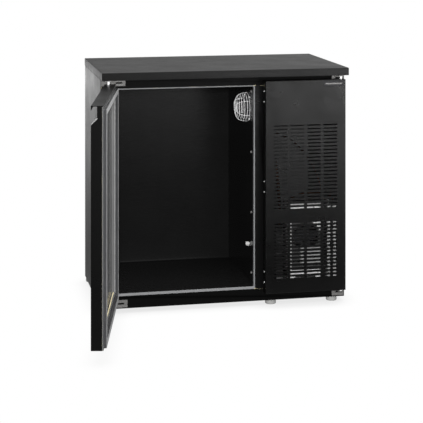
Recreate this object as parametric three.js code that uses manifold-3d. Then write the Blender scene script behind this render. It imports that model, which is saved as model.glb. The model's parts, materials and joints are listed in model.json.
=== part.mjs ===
// Under-counter keg cooler: an insulated keg compartment behind one solid door, and a machine
// bay on its right behind a louvred hatch. Millimetres, +Z up, +X right, +Y to the rear.
// Sizes below are measured from the worktop's front left corner, with z = 0 on the floor. The
// whole unit is then shifted so that the origin is under the centre of the front left foot.
import * as THREE from 'three'
import { mergeVertices } from 'three/addons/utils/BufferGeometryUtils.js'
import Module from 'manifold-3d'

const wasm = await Module()
wasm.setup()

// Driving dimensions
const width = 960
const depth = 582
const height = 916
const worktopThickness = 29
const footHeight = 18
const sheet = 1.2
const gap = 0.2
const left = 2
const right = width - left
const frontFace = 60
const bodyTop = height - worktopThickness
const bodyBottom = footHeight
const foot = { radius: 21, xs: [24, 668, 913], ys: [86, 560], stem: 4.5 }

// Keg compartment, as the clear space inside its liner
const room = { x0: 48, x1: 643, y1: 530, z0: 76, z1: 848 }
const coverX = 597
const partitionX = 684
const opening = { x0: 48, x1: 595, z0: 75, z1: 846 }
const rightReturn = 945
const trim = { x0: 43, x1: 600, z0: 65, z1: 850, y0: 59.2, y1: 61.2 }

// Door and hatch share their height, thickness and the inset of their hinge pins
const leaf = { y0: 5, y1: 47, z0: 56, z1: 871 }
const doorX = [12.5, 626.25]
const hatchX = [629.5, 947.5]
const pinInset = 14.75
const pinY = 20.5
const pinRadius = 4
const doorOpen = 101.46
const gasket = { x0: 18.5, x1: 617, z0: 62, z1: 858, width: 20, y1: 58.3 }
const grip = { reach: 21, wall: 2.2, lip: 19, top: 40, bottom: 63 }
const pan = { side: 47, end: 48, depth: 8 }

// Louvres: columns and two stacks of rows
const slot = { width: 55, height: 5, x0: 660.5, pitchX: 66, columns: 4, pitchZ: 13.75 }
const stacks = [{ top: 698, rows: 24 }, { top: 322, rows: 16 }]
const plate = { x0: 860, x1: 939, z0: 845, z1: 867, stand: 1.2 }

// Machinery
const cabinFan = { y: 178, z: 752, size: 119, bore: 54, x0: coverX + sheet + 0.4, deep: 25 }
const knob = { y: 145, z: 221 }
const studs = { y: 106, top: 821, pitch: 234.7, radius: 5, stand: 4 }
const evaporator = { x0: 602, x1: 640, y0: 210, y1: 500, z0: 124, z1: 660 }
const drip = { x0: 600, x1: 642, y0: 200, y1: 510, z0: 84, z1: 108, wall: 2 }
const guard = { wire: 1.1, lug: 4, rings: [[0, 58], [15, 57], [28, 52], [38, 42], [44, 29], [46.5, 15]] }
const shroud = { x0: 745, x1: 871, y0: 84, z0: 108, z1: 382 }
const bayFan = { x: 808, y: 96, z: 253, bore: 53, tip: 49 }
const compressor = { x: 790, y: 380, plate: 76, foot: 64 }
const tray = { x0: 700, x1: 890, y0: 75, y1: 545, z: 34, fold: 2 }
const condenser = {
  x0: 742, x1: 920, y0: 135, y1: 172, z0: 112, z1: 378, bends: 8, bendPitch: 30, flange: 11,
}
const wiring = { x0: 785, x1: 863, y0: 63, z0: 147, z1: 212 }
const drier = { x: 915, y: 250, z0: 140, z1: 260, neck: 4, radius: 11 }
const inlet = { x0: 836, x1: 864, z0: 70, z1: 96, deep: 26, rim: 5, wall: 4 }
const pipeY = 516
const pipeHole = 9
const suctionZ = 640
const liquidZ = 600

const paint = (color, roughness, metalness) =>
  new THREE.MeshStandardMaterial({ color, roughness, metalness })
const finish = {
  blackSteel: paint(0x2a2b2c, 0.5, 0.3),
  worktopSteel: paint(0x3a3b3c, 0.42, 0.3),
  linerSteel: paint(0x9c9e9f, 0.25, 0.9),
  cabinSteel: paint(0x3a3b3c, 0.25, 0.8),
  galvanised: paint(0xb9bcbd, 0.35, 0.9),
  zinc: paint(0xd2d3d2, 0.25, 1),
  chrome: paint(0xdedfe0, 0.12, 1),
  copper: paint(0xb06a42, 0.35, 0.9),
  foam: paint(0xd8cfa8, 0.9, 0),
  gasketGrey: paint(0x6f7173, 0.6, 0),
  trimGrey: paint(0xa9abac, 0.45, 0),
  blackPlastic: paint(0x17181a, 0.45, 0),
  lightPlastic: paint(0xc9cac8, 0.5, 0),
}

// Shape helpers
function block([x0, y0, z0], [x1, y1, z1]) {
  const box = new THREE.BoxGeometry(x1 - x0, y1 - y0, z1 - z0)
  return box.translate((x0 + x1) / 2, (y0 + y1) / 2, (z0 + z1) / 2)
}

// A cylinder along an axis; centre holds its other two coordinates, in x, y, z order
function rod(axis, radius, from, to, [u, v], sides = 16) {
  const middle = (from + to) / 2
  const cylinder = new THREE.CylinderGeometry(radius, radius, to - from, sides)
  if (axis === 'x') return cylinder.rotateZ(-Math.PI / 2).translate(middle, u, v)
  if (axis === 'y') return cylinder.translate(u, middle, v)
  return cylinder.rotateX(Math.PI / 2).translate(u, v, middle)
}

// A profile of [radius, z] points turned about an upright axis at (x, y)
function turned(profile, x, y, sides) {
  const points = profile.map(([r, z]) => new THREE.Vector2(r, z))
  return new THREE.LatheGeometry(points, sides).rotateX(Math.PI / 2).translate(x, y, 0)
}

const outline = (points) => new THREE.Shape(points.map(([a, b]) => new THREE.Vector2(a, b)))

// A (y, z) outline drawn out along x
function beam(points, x0, x1) {
  const body = new THREE.ExtrudeGeometry(outline(points), { depth: x1 - x0, bevelEnabled: false })
  const upright = new THREE.Matrix4().makeBasis(
    new THREE.Vector3(0, 1, 0), new THREE.Vector3(0, 0, 1), new THREE.Vector3(1, 0, 0))
  return body.applyMatrix4(upright).translate(x0, 0, 0)
}

const corners = (x0, z0, x1, z1) => [[x0, z0], [x1, z0], [x1, z1], [x0, z1]]

// An (x, z) plate from y0 to y1 with rectangular holes
function pierced(plate, holes, y0, y1) {
  const shape = outline(corners(...plate))
  shape.holes = holes.map((hole) => outline(corners(...hole)))
  const body = new THREE.ExtrudeGeometry(shape, { depth: y1 - y0, bevelEnabled: false })
  return body.rotateX(Math.PI / 2).translate(0, y1, 0)
}

function tube(points, radius, sides, steps) {
  const through = points.map((point) => new THREE.Vector3(...point))
  return swept(new THREE.CatmullRomCurve3(through, false, 'centripetal'), radius, sides, steps)
}

function swept(curve, radius, sides, steps) {
  const ring = Array.from({ length: sides }, (_, i) => {
    const angle = (i / sides) * Math.PI * 2
    return [radius * Math.cos(angle), radius * Math.sin(angle)]
  })
  return new THREE.ExtrudeGeometry(outline(ring), { steps, extrudePath: curve, bevelEnabled: false })
}

// Solids: joins and cuts
function solid(geometry) {
  const bare = geometry.clone()
  bare.deleteAttribute('normal')
  bare.deleteAttribute('uv')
  const merged = mergeVertices(bare, 1e-4)
  return new wasm.Manifold(new wasm.Mesh({
    numProp: 3,
    vertProperties: Float32Array.from(merged.attributes.position.array),
    triVerts: Uint32Array.from(merged.index.array),
  }))
}

function surface(manifold) {
  const mesh = manifold.getMesh()
  const geometry = new THREE.BufferGeometry()
  geometry.setAttribute('position', new THREE.BufferAttribute(mesh.vertProperties, 3))
  geometry.setIndex(new THREE.BufferAttribute(mesh.triVerts, 1))
  geometry.computeVertexNormals()
  return geometry
}

const join = (...pieces) => surface(pieces.map(solid).reduce((whole, piece) => whole.add(piece)))
const cut = (base, ...tools) =>
  surface(tools.map(solid).reduce((whole, tool) => whole.subtract(tool), solid(base)))

function add(parent, name, material, geometry) {
  const mesh = new THREE.Mesh(geometry, material)
  mesh.name = name
  parent.add(mesh)
}

const unit = new THREE.Group()
unit.position.set(-foot.xs[0], -foot.ys[0], 0)

// Worktop, with its edges broken by a small bevel
function addWorktop() {
  const bevel = 1.5
  const plate = outline(corners(0, 0, width, depth))
  const body = new THREE.ExtrudeGeometry(plate, {
    depth: worktopThickness - 2 * bevel,
    bevelThickness: bevel,
    bevelSize: bevel,
    bevelOffset: -bevel,
    bevelSegments: 1,
  })
  add(unit, 'worktop', finish.worktopSteel, body.translate(0, 0, bodyTop + bevel))
}

// Outer steel: folded side panels, rails, mullion, back and base pan
function addCasing() {
  const inner = frontFace + sheet
  const rear = depth - sheet
  add(unit, 'side_panel_left', finish.blackSteel, join(
    block([left, frontFace, bodyBottom], [left + sheet, rear, bodyTop]),
    block([left, frontFace, trim.z0], [trim.x0, inner, trim.z1])))
  add(unit, 'side_panel_right', finish.blackSteel, join(
    block([right - sheet, frontFace, bodyBottom], [right, rear, bodyTop]),
    block([rightReturn, frontFace, trim.z0], [right, inner, trim.z1])))
  const x0 = left + sheet
  const x1 = right - sheet
  add(unit, 'front_top_rail', finish.blackSteel, block([x0, frontFace, trim.z1], [x1, inner, bodyTop]))
  add(unit, 'front_base_rail', finish.blackSteel,
    block([x0, frontFace, bodyBottom], [x1, inner, trim.z0]))
  add(unit, 'front_mullion', finish.blackSteel,
    block([trim.x1, frontFace, trim.z0], [partitionX, inner, trim.z1]))
  add(unit, 'back_panel', finish.blackSteel, cut(
    block([left, rear, bodyBottom], [right, depth, bodyTop]),
    block([inlet.x0 - 1, rear - 1, inlet.z0 - 1], [inlet.x1 + 1, depth + 1, inlet.z1 + 1])))
  const holes = foot.xs.flatMap((x) =>
    foot.ys.map((y) => rod('z', foot.stem + 0.6, bodyBottom - 1, bodyBottom + 3, [x, y], 12)))
  add(unit, 'base_pan', finish.galvanised, cut(
    block([x0, inner, bodyBottom], [x1, rear, bodyBottom + sheet]), ...holes))
  const low = bodyBottom + sheet + gap
  add(unit, 'partition_panel', finish.galvanised, cut(
    block([partitionX - sheet, inner + gap, low], [partitionX, rear - gap, bodyTop - gap]),
    ...pipeHoles()))
}

// Clearance holes for the two refrigerant pipes through the partition wall
function pipeHoles() {
  return [suctionZ, liquidZ].map((z) =>
    rod('x', pipeHole, room.x1 - 5, partitionX + 1, [pipeY, z], 12))
}

// Foam slabs between the liner and the outer steel
function addInsulation() {
  const front = frontFace + sheet + gap
  const x0 = left + sheet + gap
  const x1 = partitionX - sheet - gap
  const z0 = bodyBottom + sheet + gap
  const z1 = bodyTop - gap
  const wall = sheet + gap
  const back = room.y1 + sheet
  const pockets = (y) => foot.xs.slice(0, 2).map((x) =>
    rod('z', foot.stem + 2, bodyBottom, bodyBottom + 20, [x, y], 12))
  add(unit, 'insulation_left', finish.foam,
    block([x0, front, room.z0 - 1], [room.x0 - wall, back, room.z1 + 1]))
  add(unit, 'insulation_partition', finish.foam, cut(
    block([room.x1 + wall, front, room.z0 - 1], [x1, back, room.z1 + 1]), ...pipeHoles()))
  add(unit, 'insulation_top', finish.foam, block([x0, front, room.z1 + wall], [x1, back, z1]))
  add(unit, 'insulation_floor', finish.foam, cut(
    block([x0, front, z0], [x1, back, room.z0 - wall]), ...pockets(foot.ys[0])))
  add(unit, 'insulation_back', finish.foam, cut(
    block([x0, back + gap, z0], [x1, depth - sheet - gap, z1]), ...pockets(foot.ys[1])))
}

// One folded liner box, open at the front, and the trim strip that frames the opening
function addLiner() {
  const front = trim.y1 + gap
  const { x0, x1, y1, z0, z1 } = room
  add(unit, 'inner_liner', finish.cabinSteel, cut(
    block([x0 - sheet, front, z0 - sheet], [x1 + sheet, y1 + sheet, z1 + sheet]),
    block([x0, front - 1, z0], [x1, y1, z1]),
    ...pipeHoles()))
  const hole = [opening.x0, opening.z0, opening.x1, opening.z1]
  add(unit, 'opening_trim', finish.trimGrey,
    pierced([trim.x0, trim.z0, trim.x1, trim.z1], [hole], trim.y0, trim.y1))
}

// The evaporator: a cover over the right inner wall, with coil, pan, fan and thermostat behind it
function addEvaporator() {
  const front = trim.y1 + 2 * gap
  add(unit, 'evaporator_cover', finish.cabinSteel, cut(
    block([coverX, front, room.z0 + gap], [coverX + sheet, room.y1 - gap, room.z1 - gap]),
    rod('x', cabinFan.bore, coverX - 1, coverX + 3, [cabinFan.y, cabinFan.z], 28),
    rod('x', 4.5, coverX - 1, coverX + 3, [knob.y, knob.z], 12)))
  for (let i = 0; i < 4; i++) {
    const centre = [studs.y, studs.top - studs.pitch * i]
    add(unit, `cover_screw_${i + 1}`, finish.zinc,
      rod('x', studs.radius, coverX - studs.stand, coverX - gap, centre, 10))
  }
  const coil = evaporator
  const endPlate = (y) => block([coil.x0 - 1, y, coil.z0 - 4], [coil.x1 + 1, y + 4, coil.z1 + 4])
  add(unit, 'evaporator_coil', finish.galvanised, join(
    block([coil.x0, coil.y0, coil.z0], [coil.x1, coil.y1, coil.z1]),
    endPlate(coil.y0 - 3), endPlate(coil.y1 - 1)))
  const { wall } = drip
  add(unit, 'drain_pan', finish.galvanised, cut(
    block([drip.x0, drip.y0, drip.z0], [drip.x1, drip.y1, drip.z1]),
    block([drip.x0 + wall, drip.y0 + wall, drip.z0 + wall],
      [drip.x1 - wall, drip.y1 - wall, drip.z1 + wall])))
  const half = 20
  add(unit, 'thermostat_body', finish.lightPlastic,
    block([coverX + 3, knob.y - half, knob.z - half], [coverX + 28, knob.y + half, knob.z + half]))
}

// A domed wire guard: rings that step out from the cover, tied by ribs
function addFanGuard() {
  const { wire, lug, rings } = guard
  const base = coverX - 1.8
  const hoops = rings.map(([out, radius]) =>
    new THREE.TorusGeometry(radius, wire, 4, 18).rotateY(Math.PI / 2)
      .translate(base - out, cabinFan.y, cabinFan.z))
  const ribs = [0, 1, 2, 3].map((i) => {
    const angle = (i / 4 + 1 / 8) * Math.PI * 2
    const along = ([out, radius]) => [
      base - out, cabinFan.y + radius * Math.cos(angle), cabinFan.z + radius * Math.sin(angle)]
    return tube(rings.map(along), wire, 4, 7)
  })
  const lugs = [0, 1, 2, 3].map((i) => {
    const angle = (i / 4 + 1 / 8) * Math.PI * 2
    const y = cabinFan.y + 60 * Math.cos(angle)
    const z = cabinFan.z + 60 * Math.sin(angle)
    return block([base - 0.8, y - lug, z - lug], [coverX - gap, y + lug, z + lug])
  })
  add(unit, 'fan_guard', finish.chrome, join(...hoops, ...ribs, ...lugs))
}

// A bladed rotor about an axis through centre; blades are flat plates set at an angle
function rotor(axis, centre, hubRadius, tip, deep, count, chord) {
  const hub = rod('x', hubRadius, -deep / 2, deep / 2, [0, 0], 20)
  const blades = Array.from({ length: count }, (_, i) => {
    const blade = new THREE.BoxGeometry(1.6, chord, tip - hubRadius + 2)
    blade.rotateZ(Math.PI / 3).translate(0, 0, (tip + hubRadius - 2) / 2)
    return blade.rotateX((i / count) * Math.PI * 2)
  })
  const body = join(hub, ...blades)
  if (axis === 'y') body.rotateZ(Math.PI / 2)
  return body.translate(...centre)
}

// The cabin fan: a square frame with its motor on cross struts, and the rotor in front of it
function addCabinFan() {
  const { y, z, size, bore, x0, deep } = cabinFan
  const x1 = x0 + deep
  const half = size / 2
  const ring = cut(block([x0, y - half, z - half], [x1, y + half, z + half]),
    rod('x', bore, x0 - 1, x1 + 1, [y, z], 28))
  add(unit, 'cabin_fan_frame', finish.blackPlastic, join(ring,
    rod('x', 20, x1 - 11, x1, [y, z], 20),
    block([x1 - 3, y - 55, z - 3], [x1, y + 55, z + 3]),
    block([x1 - 3, y - 3, z - 55], [x1, y + 3, z + 55])))
  add(unit, 'cabin_fan_rotor', finish.blackPlastic,
    rotor('x', [x0 + 7, y, z], 19, 51, 11, 7, 12))
}

// A six-lobed knob on a short shaft through the cover
function addKnob() {
  const lobes = Array.from({ length: 12 }, (_, i) => {
    const radius = i % 2 ? 7.2 : 9.5
    const angle = (i / 12) * Math.PI * 2
    return [knob.y + radius * Math.cos(angle), knob.z + radius * Math.sin(angle)]
  })
  add(unit, 'thermostat_knob', finish.lightPlastic, join(
    beam(lobes, coverX - 13, coverX - 1.5),
    rod('x', 3, coverX - 2, coverX + 2.5, [knob.y, knob.z], 12)))
}

// Hinge brackets: an upright plate on the front frame, a level leaf, and a pin into the door
function hingeBracket(pinX, [x0, x1], [z0, z1], leafZ, pinEnd) {
  const plateY = frontFace - gap
  const leafHalf = 13
  return join(
    block([x0, plateY - 2.5, z0], [x1, plateY, z1]),
    block([pinX - leafHalf, pinY - 10, leafZ], [pinX + leafHalf, plateY, leafZ + 3]),
    rod('z', pinRadius, Math.min(leafZ + 1, pinEnd), Math.max(leafZ + 2, pinEnd), [pinX, pinY], 16))
}

function addBrackets() {
  const leftPin = doorX[0] + pinInset
  const rightPin = hatchX[1] - pinInset
  const upper = [860, 886]
  const lower = [23, 51]
  const upperLeaf = bodyTop - 4.2
  const lowerLeaf = leaf.z0 - 8
  const topPin = leaf.z1 - 20
  const basePin = leaf.z0 + 16
  add(unit, 'hinge_bracket_top_left', finish.zinc,
    hingeBracket(leftPin, [4, 96], upper, upperLeaf, topPin))
  add(unit, 'hinge_bracket_bottom_left', finish.zinc,
    hingeBracket(leftPin, [4, 104], lower, lowerLeaf, basePin))
  add(unit, 'hinge_bracket_top_right', finish.zinc,
    hingeBracket(rightPin, [907, 953], upper, upperLeaf, topPin))
  add(unit, 'hinge_bracket_bottom_right', finish.zinc,
    hingeBracket(rightPin, [907, 953], lower, lowerLeaf, basePin))
}

// The door is drawn shut, then its group swings it open about the hinge pins
function addDoor() {
  const [x0, x1] = doorX
  const { y0, y1, z0, z1 } = leaf
  const pinX = x0 + pinInset
  const hinge = new THREE.Group()
  hinge.position.set(pinX, pinY, 0)
  hinge.rotation.z = -THREE.MathUtils.degToRad(doorOpen)
  unit.add(hinge)
  const door = new THREE.Group()
  door.position.set(-pinX, -pinY, 0)
  hinge.add(door)

  const wall = grip.wall
  const channelY = y0 + grip.reach
  const channelZ = z1 - grip.top
  const faceTop = z1 - grip.bottom
  const linerY = y1 - 4
  const seam = 0.3

  // Grip: a top plate with a tapered lip, the channel's back wall, and a slope out to the face
  const gripProfile = [
    [y0, z1 - grip.lip], [y0, z1], [y1, z1], [y1, z1 - wall], [channelY + wall, z1 - wall],
    [channelY + wall, channelZ - 0.6], [y0 + 1.1, faceTop + seam], [y0, faceTop + seam],
    [y0, faceTop + wall], [channelY, channelZ + 0.3], [channelY, z1 - wall], [y0 + 4, z1 - wall]]
  add(door, 'door_grip', finish.blackSteel, cut(beam(gripProfile, x0, x1),
    rod('z', pinRadius + 1, z1 - 5, z1 + 1, [pinX, pinY], 16)))

  // Skin: front sheet with folded ends that follow the grip's channel
  const endProfile = [
    [y0, z0], [linerY - seam, z0], [linerY - seam, z1 - wall - seam],
    [channelY + wall + seam, z1 - wall - seam], [channelY + wall + seam, channelZ - 1],
    [y0 + 1.2, faceTop - 0.2], [y0, faceTop - 0.2]]
  add(door, 'door_skin', finish.blackSteel, cut(
    join(block([x0, y0, z0], [x1, y0 + sheet, faceTop - 0.2]),
      block([x0, y0, z0], [x1, linerY - seam, z0 + sheet]),
      beam(endProfile, x0, x0 + sheet), beam(endProfile, x1 - sheet, x1)),
    rod('z', 8, z0 - 1, z0 + 4, [pinX, pinY], 16)))

  // Foam core, recessed for the pan of the door liner and for the lower bush
  const edge = sheet + gap
  const foamProfile = [
    [y0 + edge, z0 + edge], [linerY - seam, z0 + edge], [linerY - seam, z1 - wall - seam],
    [channelY + wall + seam, z1 - wall - seam], [channelY + wall + seam, channelZ - 1.4],
    [y0 + edge, faceTop - 1]]
  const panX = [x0 + pan.side, x1 - pan.side]
  const panZ = [z0 + pan.end, z1 - pan.end]
  const panY = linerY - pan.depth
  add(door, 'door_foam', finish.foam, cut(
    beam(foamProfile, x0 + edge, x1 - edge),
    block([panX[0] - 2, panY - 2, panZ[0] - 2], [panX[1] + 2, y1, panZ[1] + 2]),
    rod('z', 8, z0, z0 + 22, [pinX, pinY], 16)))

  // Inner liner: a flat rim round a shallow pan
  const linerTop = z1 - wall - seam
  add(door, 'door_liner', finish.linerSteel, cut(
    join(block([x0, linerY, z0], [x1, y1, linerTop]),
      block([panX[0] - 1.5, panY - 1.5, panZ[0] - 1.5], [panX[1] + 1.5, y1, panZ[1] + 1.5])),
    block([panX[0], panY, panZ[0]], [panX[1], y1 + 1, panZ[1]])))

  // Gasket: a square ring that stops just short of the front frame
  const ring = gasket.width
  add(door, 'door_gasket', finish.gasketGrey, pierced(
    [gasket.x0, gasket.z0, gasket.x1, gasket.z1],
    [[gasket.x0 + ring, gasket.z0 + ring, gasket.x1 - ring, gasket.z1 - ring]], y1 + gap, gasket.y1))

  // Bushes round the pins: a block in the grip's channel above, a sleeve in the foam below
  add(door, 'door_bush_top', finish.blackPlastic, cut(
    block([pinX - 13, y0 + 5, channelZ + 1], [pinX + 13, channelY - gap, z1 - wall - gap]),
    rod('z', pinRadius + 0.4, z1 - 24, z1, [pinX, pinY], 16)))
  add(door, 'door_bush_bottom', finish.blackPlastic, cut(
    rod('z', 7.6, z0 + gap, z0 + 20, [pinX, pinY], 16),
    rod('z', pinRadius + 0.4, z0 - 1, z0 + 17.5, [pinX, pinY], 16)))
}

// A flat plate on a grid of cells, some of them open; each open cell goes right through
function griddedPlate(xs, zs, isOpen, y0, y1) {
  const rows = zs.length
  const points = xs.flatMap((x) => zs.flatMap((z) => [x, y0, z, x, y1, z]))
  const vertex = ([i, j], side) => 2 * (i * rows + j) + side
  const isSolid = (i, j) =>
    i >= 0 && j >= 0 && i < xs.length - 1 && j < rows - 1 && !isOpen(i, j)
  const faces = []
  for (let i = 0; i < xs.length - 1; i++) {
    for (let j = 0; j < rows - 1; j++) {
      if (!isSolid(i, j)) continue
      const loop = [[i, j], [i + 1, j], [i + 1, j + 1], [i, j + 1]]
      const [a, b, c, d] = loop.map((corner) => vertex(corner, 0))
      faces.push(a, b, c, a, c, d, a + 1, c + 1, b + 1, a + 1, d + 1, c + 1)
      const neighbours = [[i, j - 1], [i + 1, j], [i, j + 1], [i - 1, j]]
      neighbours.forEach((cell, side) => {
        if (isSolid(...cell)) return
        const p = vertex(loop[side], 0)
        const q = vertex(loop[(side + 1) % 4], 0)
        faces.push(p, p + 1, q + 1, p, q + 1, q)
      })
    }
  }
  const geometry = new THREE.BufferGeometry()
  geometry.setAttribute('position', new THREE.Float32BufferAttribute(points, 3))
  geometry.setIndex(faces)
  geometry.computeVertexNormals()
  return geometry
}

// The hatch: a louvred front sheet, a folded frame behind it, and a blank plate near its corner
function addHatch() {
  const [x0, x1] = hatchX
  const { y0, y1, z0, z1 } = leaf
  const pinX = x1 - pinInset
  const xs = [x0]
  for (let column = 0; column < slot.columns; column++) {
    const start = slot.x0 + slot.pitchX * column
    xs.push(start, start + slot.width)
  }
  xs.push(x1)
  const zs = [z1]
  for (const { top, rows } of stacks) {
    for (let row = 0; row < rows; row++) {
      const middle = top - slot.pitchZ * row
      zs.push(middle + slot.height / 2, middle - slot.height / 2)
    }
  }
  zs.push(z0)
  zs.reverse()
  const isSlot = (i, j) => i % 2 === 1 && j % 2 === 1
  add(unit, 'louvre_panel', finish.blackSteel, griddedPlate(xs, zs, isSlot, y0, y0 + sheet))

  const back = y0 + sheet + gap
  const flange = 14
  const frame = cut(block([x0, back, z0], [x1, y1, z1]),
    block([x0 + sheet, back + sheet, z0 + sheet], [x1 - sheet, y1 + 1, z1 - sheet]),
    block([x0 + flange, back - 1, z0 + flange], [x1 - flange, back + 3, z1 - flange]))
  add(unit, 'hatch_frame', finish.blackSteel, cut(frame,
    rod('z', pinRadius + 0.4, z0 - 1, z0 + 3, [pinX, pinY], 16),
    rod('z', pinRadius + 0.4, z1 - 3, z1 + 1, [pinX, pinY], 16)))
  add(unit, 'hatch_plate', finish.zinc,
    block([plate.x0, y0 - plate.stand, plate.z0], [plate.x1, y0 - 0.1, plate.z1]))
}

// Condensing unit: base tray, shroud with fan, coil with return bends, compressor and its parts
function addCondensingUnit() {
  const floor = bodyBottom + sheet + gap
  const { fold } = tray
  add(unit, 'condensing_unit_base', finish.galvanised, join(
    block([tray.x0, tray.y0, tray.z], [tray.x1, tray.y1, tray.z + fold]),
    block([tray.x0, tray.y0, floor], [tray.x1, tray.y0 + fold, tray.z + 1]),
    block([tray.x0, tray.y1 - fold, floor], [tray.x1, tray.y1, tray.z + 1])))
  const deck = tray.z + fold + gap

  const { x0, x1, y0, z0, z1 } = shroud
  const lipY = y0 - 14
  const wallY = y0 + 49
  const lip = (a, b) => block([x0, lipY, a], [x1, lipY + sheet, b])
  add(unit, 'condenser_shroud', finish.galvanised, cut(join(
    block([x0, y0, z0], [x1, y0 + sheet, z1]),
    block([x0, lipY, z1 - sheet], [x1, y0 + sheet, z1]), lip(z1 - 16, z1),
    block([x0, lipY, z0], [x1, y0 + sheet, z0 + sheet]), lip(z0, z0 + 16),
    block([x0, y0, z0], [x0 + sheet, wallY, z1]), block([x1 - sheet, y0, z0], [x1, wallY, z1]),
    block([x0, y0, deck], [x0 + 22, y0 + sheet, z0 + 1]),
    block([x1 - 22, y0, deck], [x1, y0 + sheet, z0 + 1])),
  rod('y', bayFan.bore, y0 - 1, y0 + 2, [bayFan.x, bayFan.z], 28)))

  const strut = [x0 + sheet + gap, x1 - sheet - gap]
  add(unit, 'bay_fan_motor', finish.blackPlastic, join(
    rod('y', 26, 107, 131, [bayFan.x, bayFan.z], 20),
    block([strut[0], 118, bayFan.z - 8], [strut[1], 121, bayFan.z + 8])))
  add(unit, 'bay_fan_rotor', finish.blackPlastic,
    rotor('y', [bayFan.x, bayFan.y, bayFan.z], 22, bayFan.tip, 14, 5, 22))

  const coil = condenser
  const bendY = (coil.y0 + coil.y1) / 2
  const bends = Array.from({ length: coil.bends }, (_, i) => {
    const z = coil.z0 + 18 + coil.bendPitch * i
    const at = (x, dz) => new THREE.Vector3(coil.x1 + x, bendY, z + dz)
    return swept(new THREE.CubicBezierCurve3(at(0, 0), at(28, 0), at(28, 20), at(0, 20)), 3.5, 6, 5)
  })
  const endPlate = (x) => block([x, coil.y0 - 1, deck], [x + 2, coil.y1 + 1, coil.z1 + 3])
  add(unit, 'condenser_coil', finish.galvanised, join(
    block([coil.x0, coil.y0, coil.z0], [coil.x1, coil.y1, coil.z1]),
    block([coil.x1 - coil.flange, coil.y0 - 1, deck], [coil.x1 + 1, coil.y0 + 1, coil.z1 + 3]),
    endPlate(coil.x0 - 1), endPlate(coil.x1 - 1), ...bends))

  const shell = [
    [0, 43], [60, 43], [74, 56], [78, 80], [78, 128], [81, 130], [81, 137], [78, 139], [76, 190],
    [60, 216], [30, 228], [0, 230]]
  const { x, y, plate: half, foot: spread } = compressor
  const grommets = [-1, 1].flatMap((i) => [-1, 1].map((j) =>
    rod('z', 9, deck, 41, [x + i * spread, y + j * spread], 10)))
  add(unit, 'compressor', finish.blackSteel, join(
    turned(shell, x, y, 20), block([x - half, y - half, 40], [x + half, y + half, 44]), ...grommets))
  add(unit, 'compressor_terminal_cover', finish.blackPlastic,
    block([x + 81.5, y - 30, 90], [x + 108, y + 30, 150]))
  add(unit, 'wiring_box', finish.galvanised,
    block([wiring.x0, wiring.y0, wiring.z0], [wiring.x1, y0 - gap, wiring.z1]))
  add(unit, 'suction_pipe', finish.copper, tube([
    [790, 430, 225], [790, 430, 330], [775, 470, 520], [740, pipeY, suctionZ],
    [690, pipeY, suctionZ], [625, pipeY, suctionZ]], 6, 8, 24))
  add(unit, 'discharge_pipe', finish.copper, tube([
    [790, 330, 224.5], [790, 330, 330], [850, 258, 386], [934, 190, 388], [940, bendY, 372],
    [coil.x1 + 2.5, bendY, 372]], 4, 6, 28))
  const { neck, radius, z0: foot0, z1: top } = drier
  const filter = [[0, foot0], [neck, foot0], [neck, foot0 + 8], [radius, foot0 + 16],
    [radius, top - 16], [neck, top - 8], [neck, top], [0, top]]
  add(unit, 'liquid_line', finish.copper, join(turned(filter, drier.x, drier.y, 12), tube([
    [drier.x, drier.y, top - 2], [drier.x, drier.y, 420], [860, 440, 560], [760, pipeY, liquidZ],
    [690, pipeY, liquidZ], [625, pipeY, liquidZ]], 3, 6, 24)))
  addInlet()
}

// Mains inlet, clipped into the rear sheet from inside with its mouth flush
function addInlet() {
  const { deep, rim, wall } = inlet
  const back = depth - sheet - gap
  add(unit, 'power_inlet', finish.blackPlastic, cut(join(
    block([inlet.x0, depth - deep, inlet.z0], [inlet.x1, depth - gap, inlet.z1]),
    block([inlet.x0 - rim, back - 2, inlet.z0 - rim], [inlet.x1 + rim, back, inlet.z1 + rim])),
  block([inlet.x0 + wall, depth - deep + 8, inlet.z0 + wall],
    [inlet.x1 - wall, depth + 1, inlet.z1 - wall])))
}

// Screw-in feet: a tapered disc on a stem that enters the base pan
function addFeet() {
  const names = [['front_left', 'rear_left'], ['front_middle', 'rear_middle'],
    ['front_right', 'rear_right']]
  const top = bodyBottom - 0.3
  const profile = [
    [0, 0], [foot.radius - 2, 0], [foot.radius, 2], [foot.radius, 10], [foot.radius - 5, top],
    [foot.stem, top], [foot.stem, bodyBottom + 16], [0, bodyBottom + 16]]
  foot.xs.forEach((x, i) => foot.ys.forEach((y, j) =>
    add(unit, `foot_${names[i][j]}`, finish.lightPlastic, turned(profile, x, y, 16))))
}

addWorktop()
addCasing()
addInsulation()
addLiner()
addEvaporator()
addFanGuard()
addCabinFan()
addKnob()
addBrackets()
addDoor()
addHatch()
addCondensingUnit()
addFeet()

export default unit
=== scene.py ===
"""Looks of an under-counter keg cooler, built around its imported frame.

Places and sizes come from the frame's own nodes and joints. Pieces are drawn in millimetres,
Z up, and scaled to metres. The door is drawn shut and then swung to where the frame holds it.
"""

import json
import math

import bmesh
import bpy
from mathutils import Matrix, Vector

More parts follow.
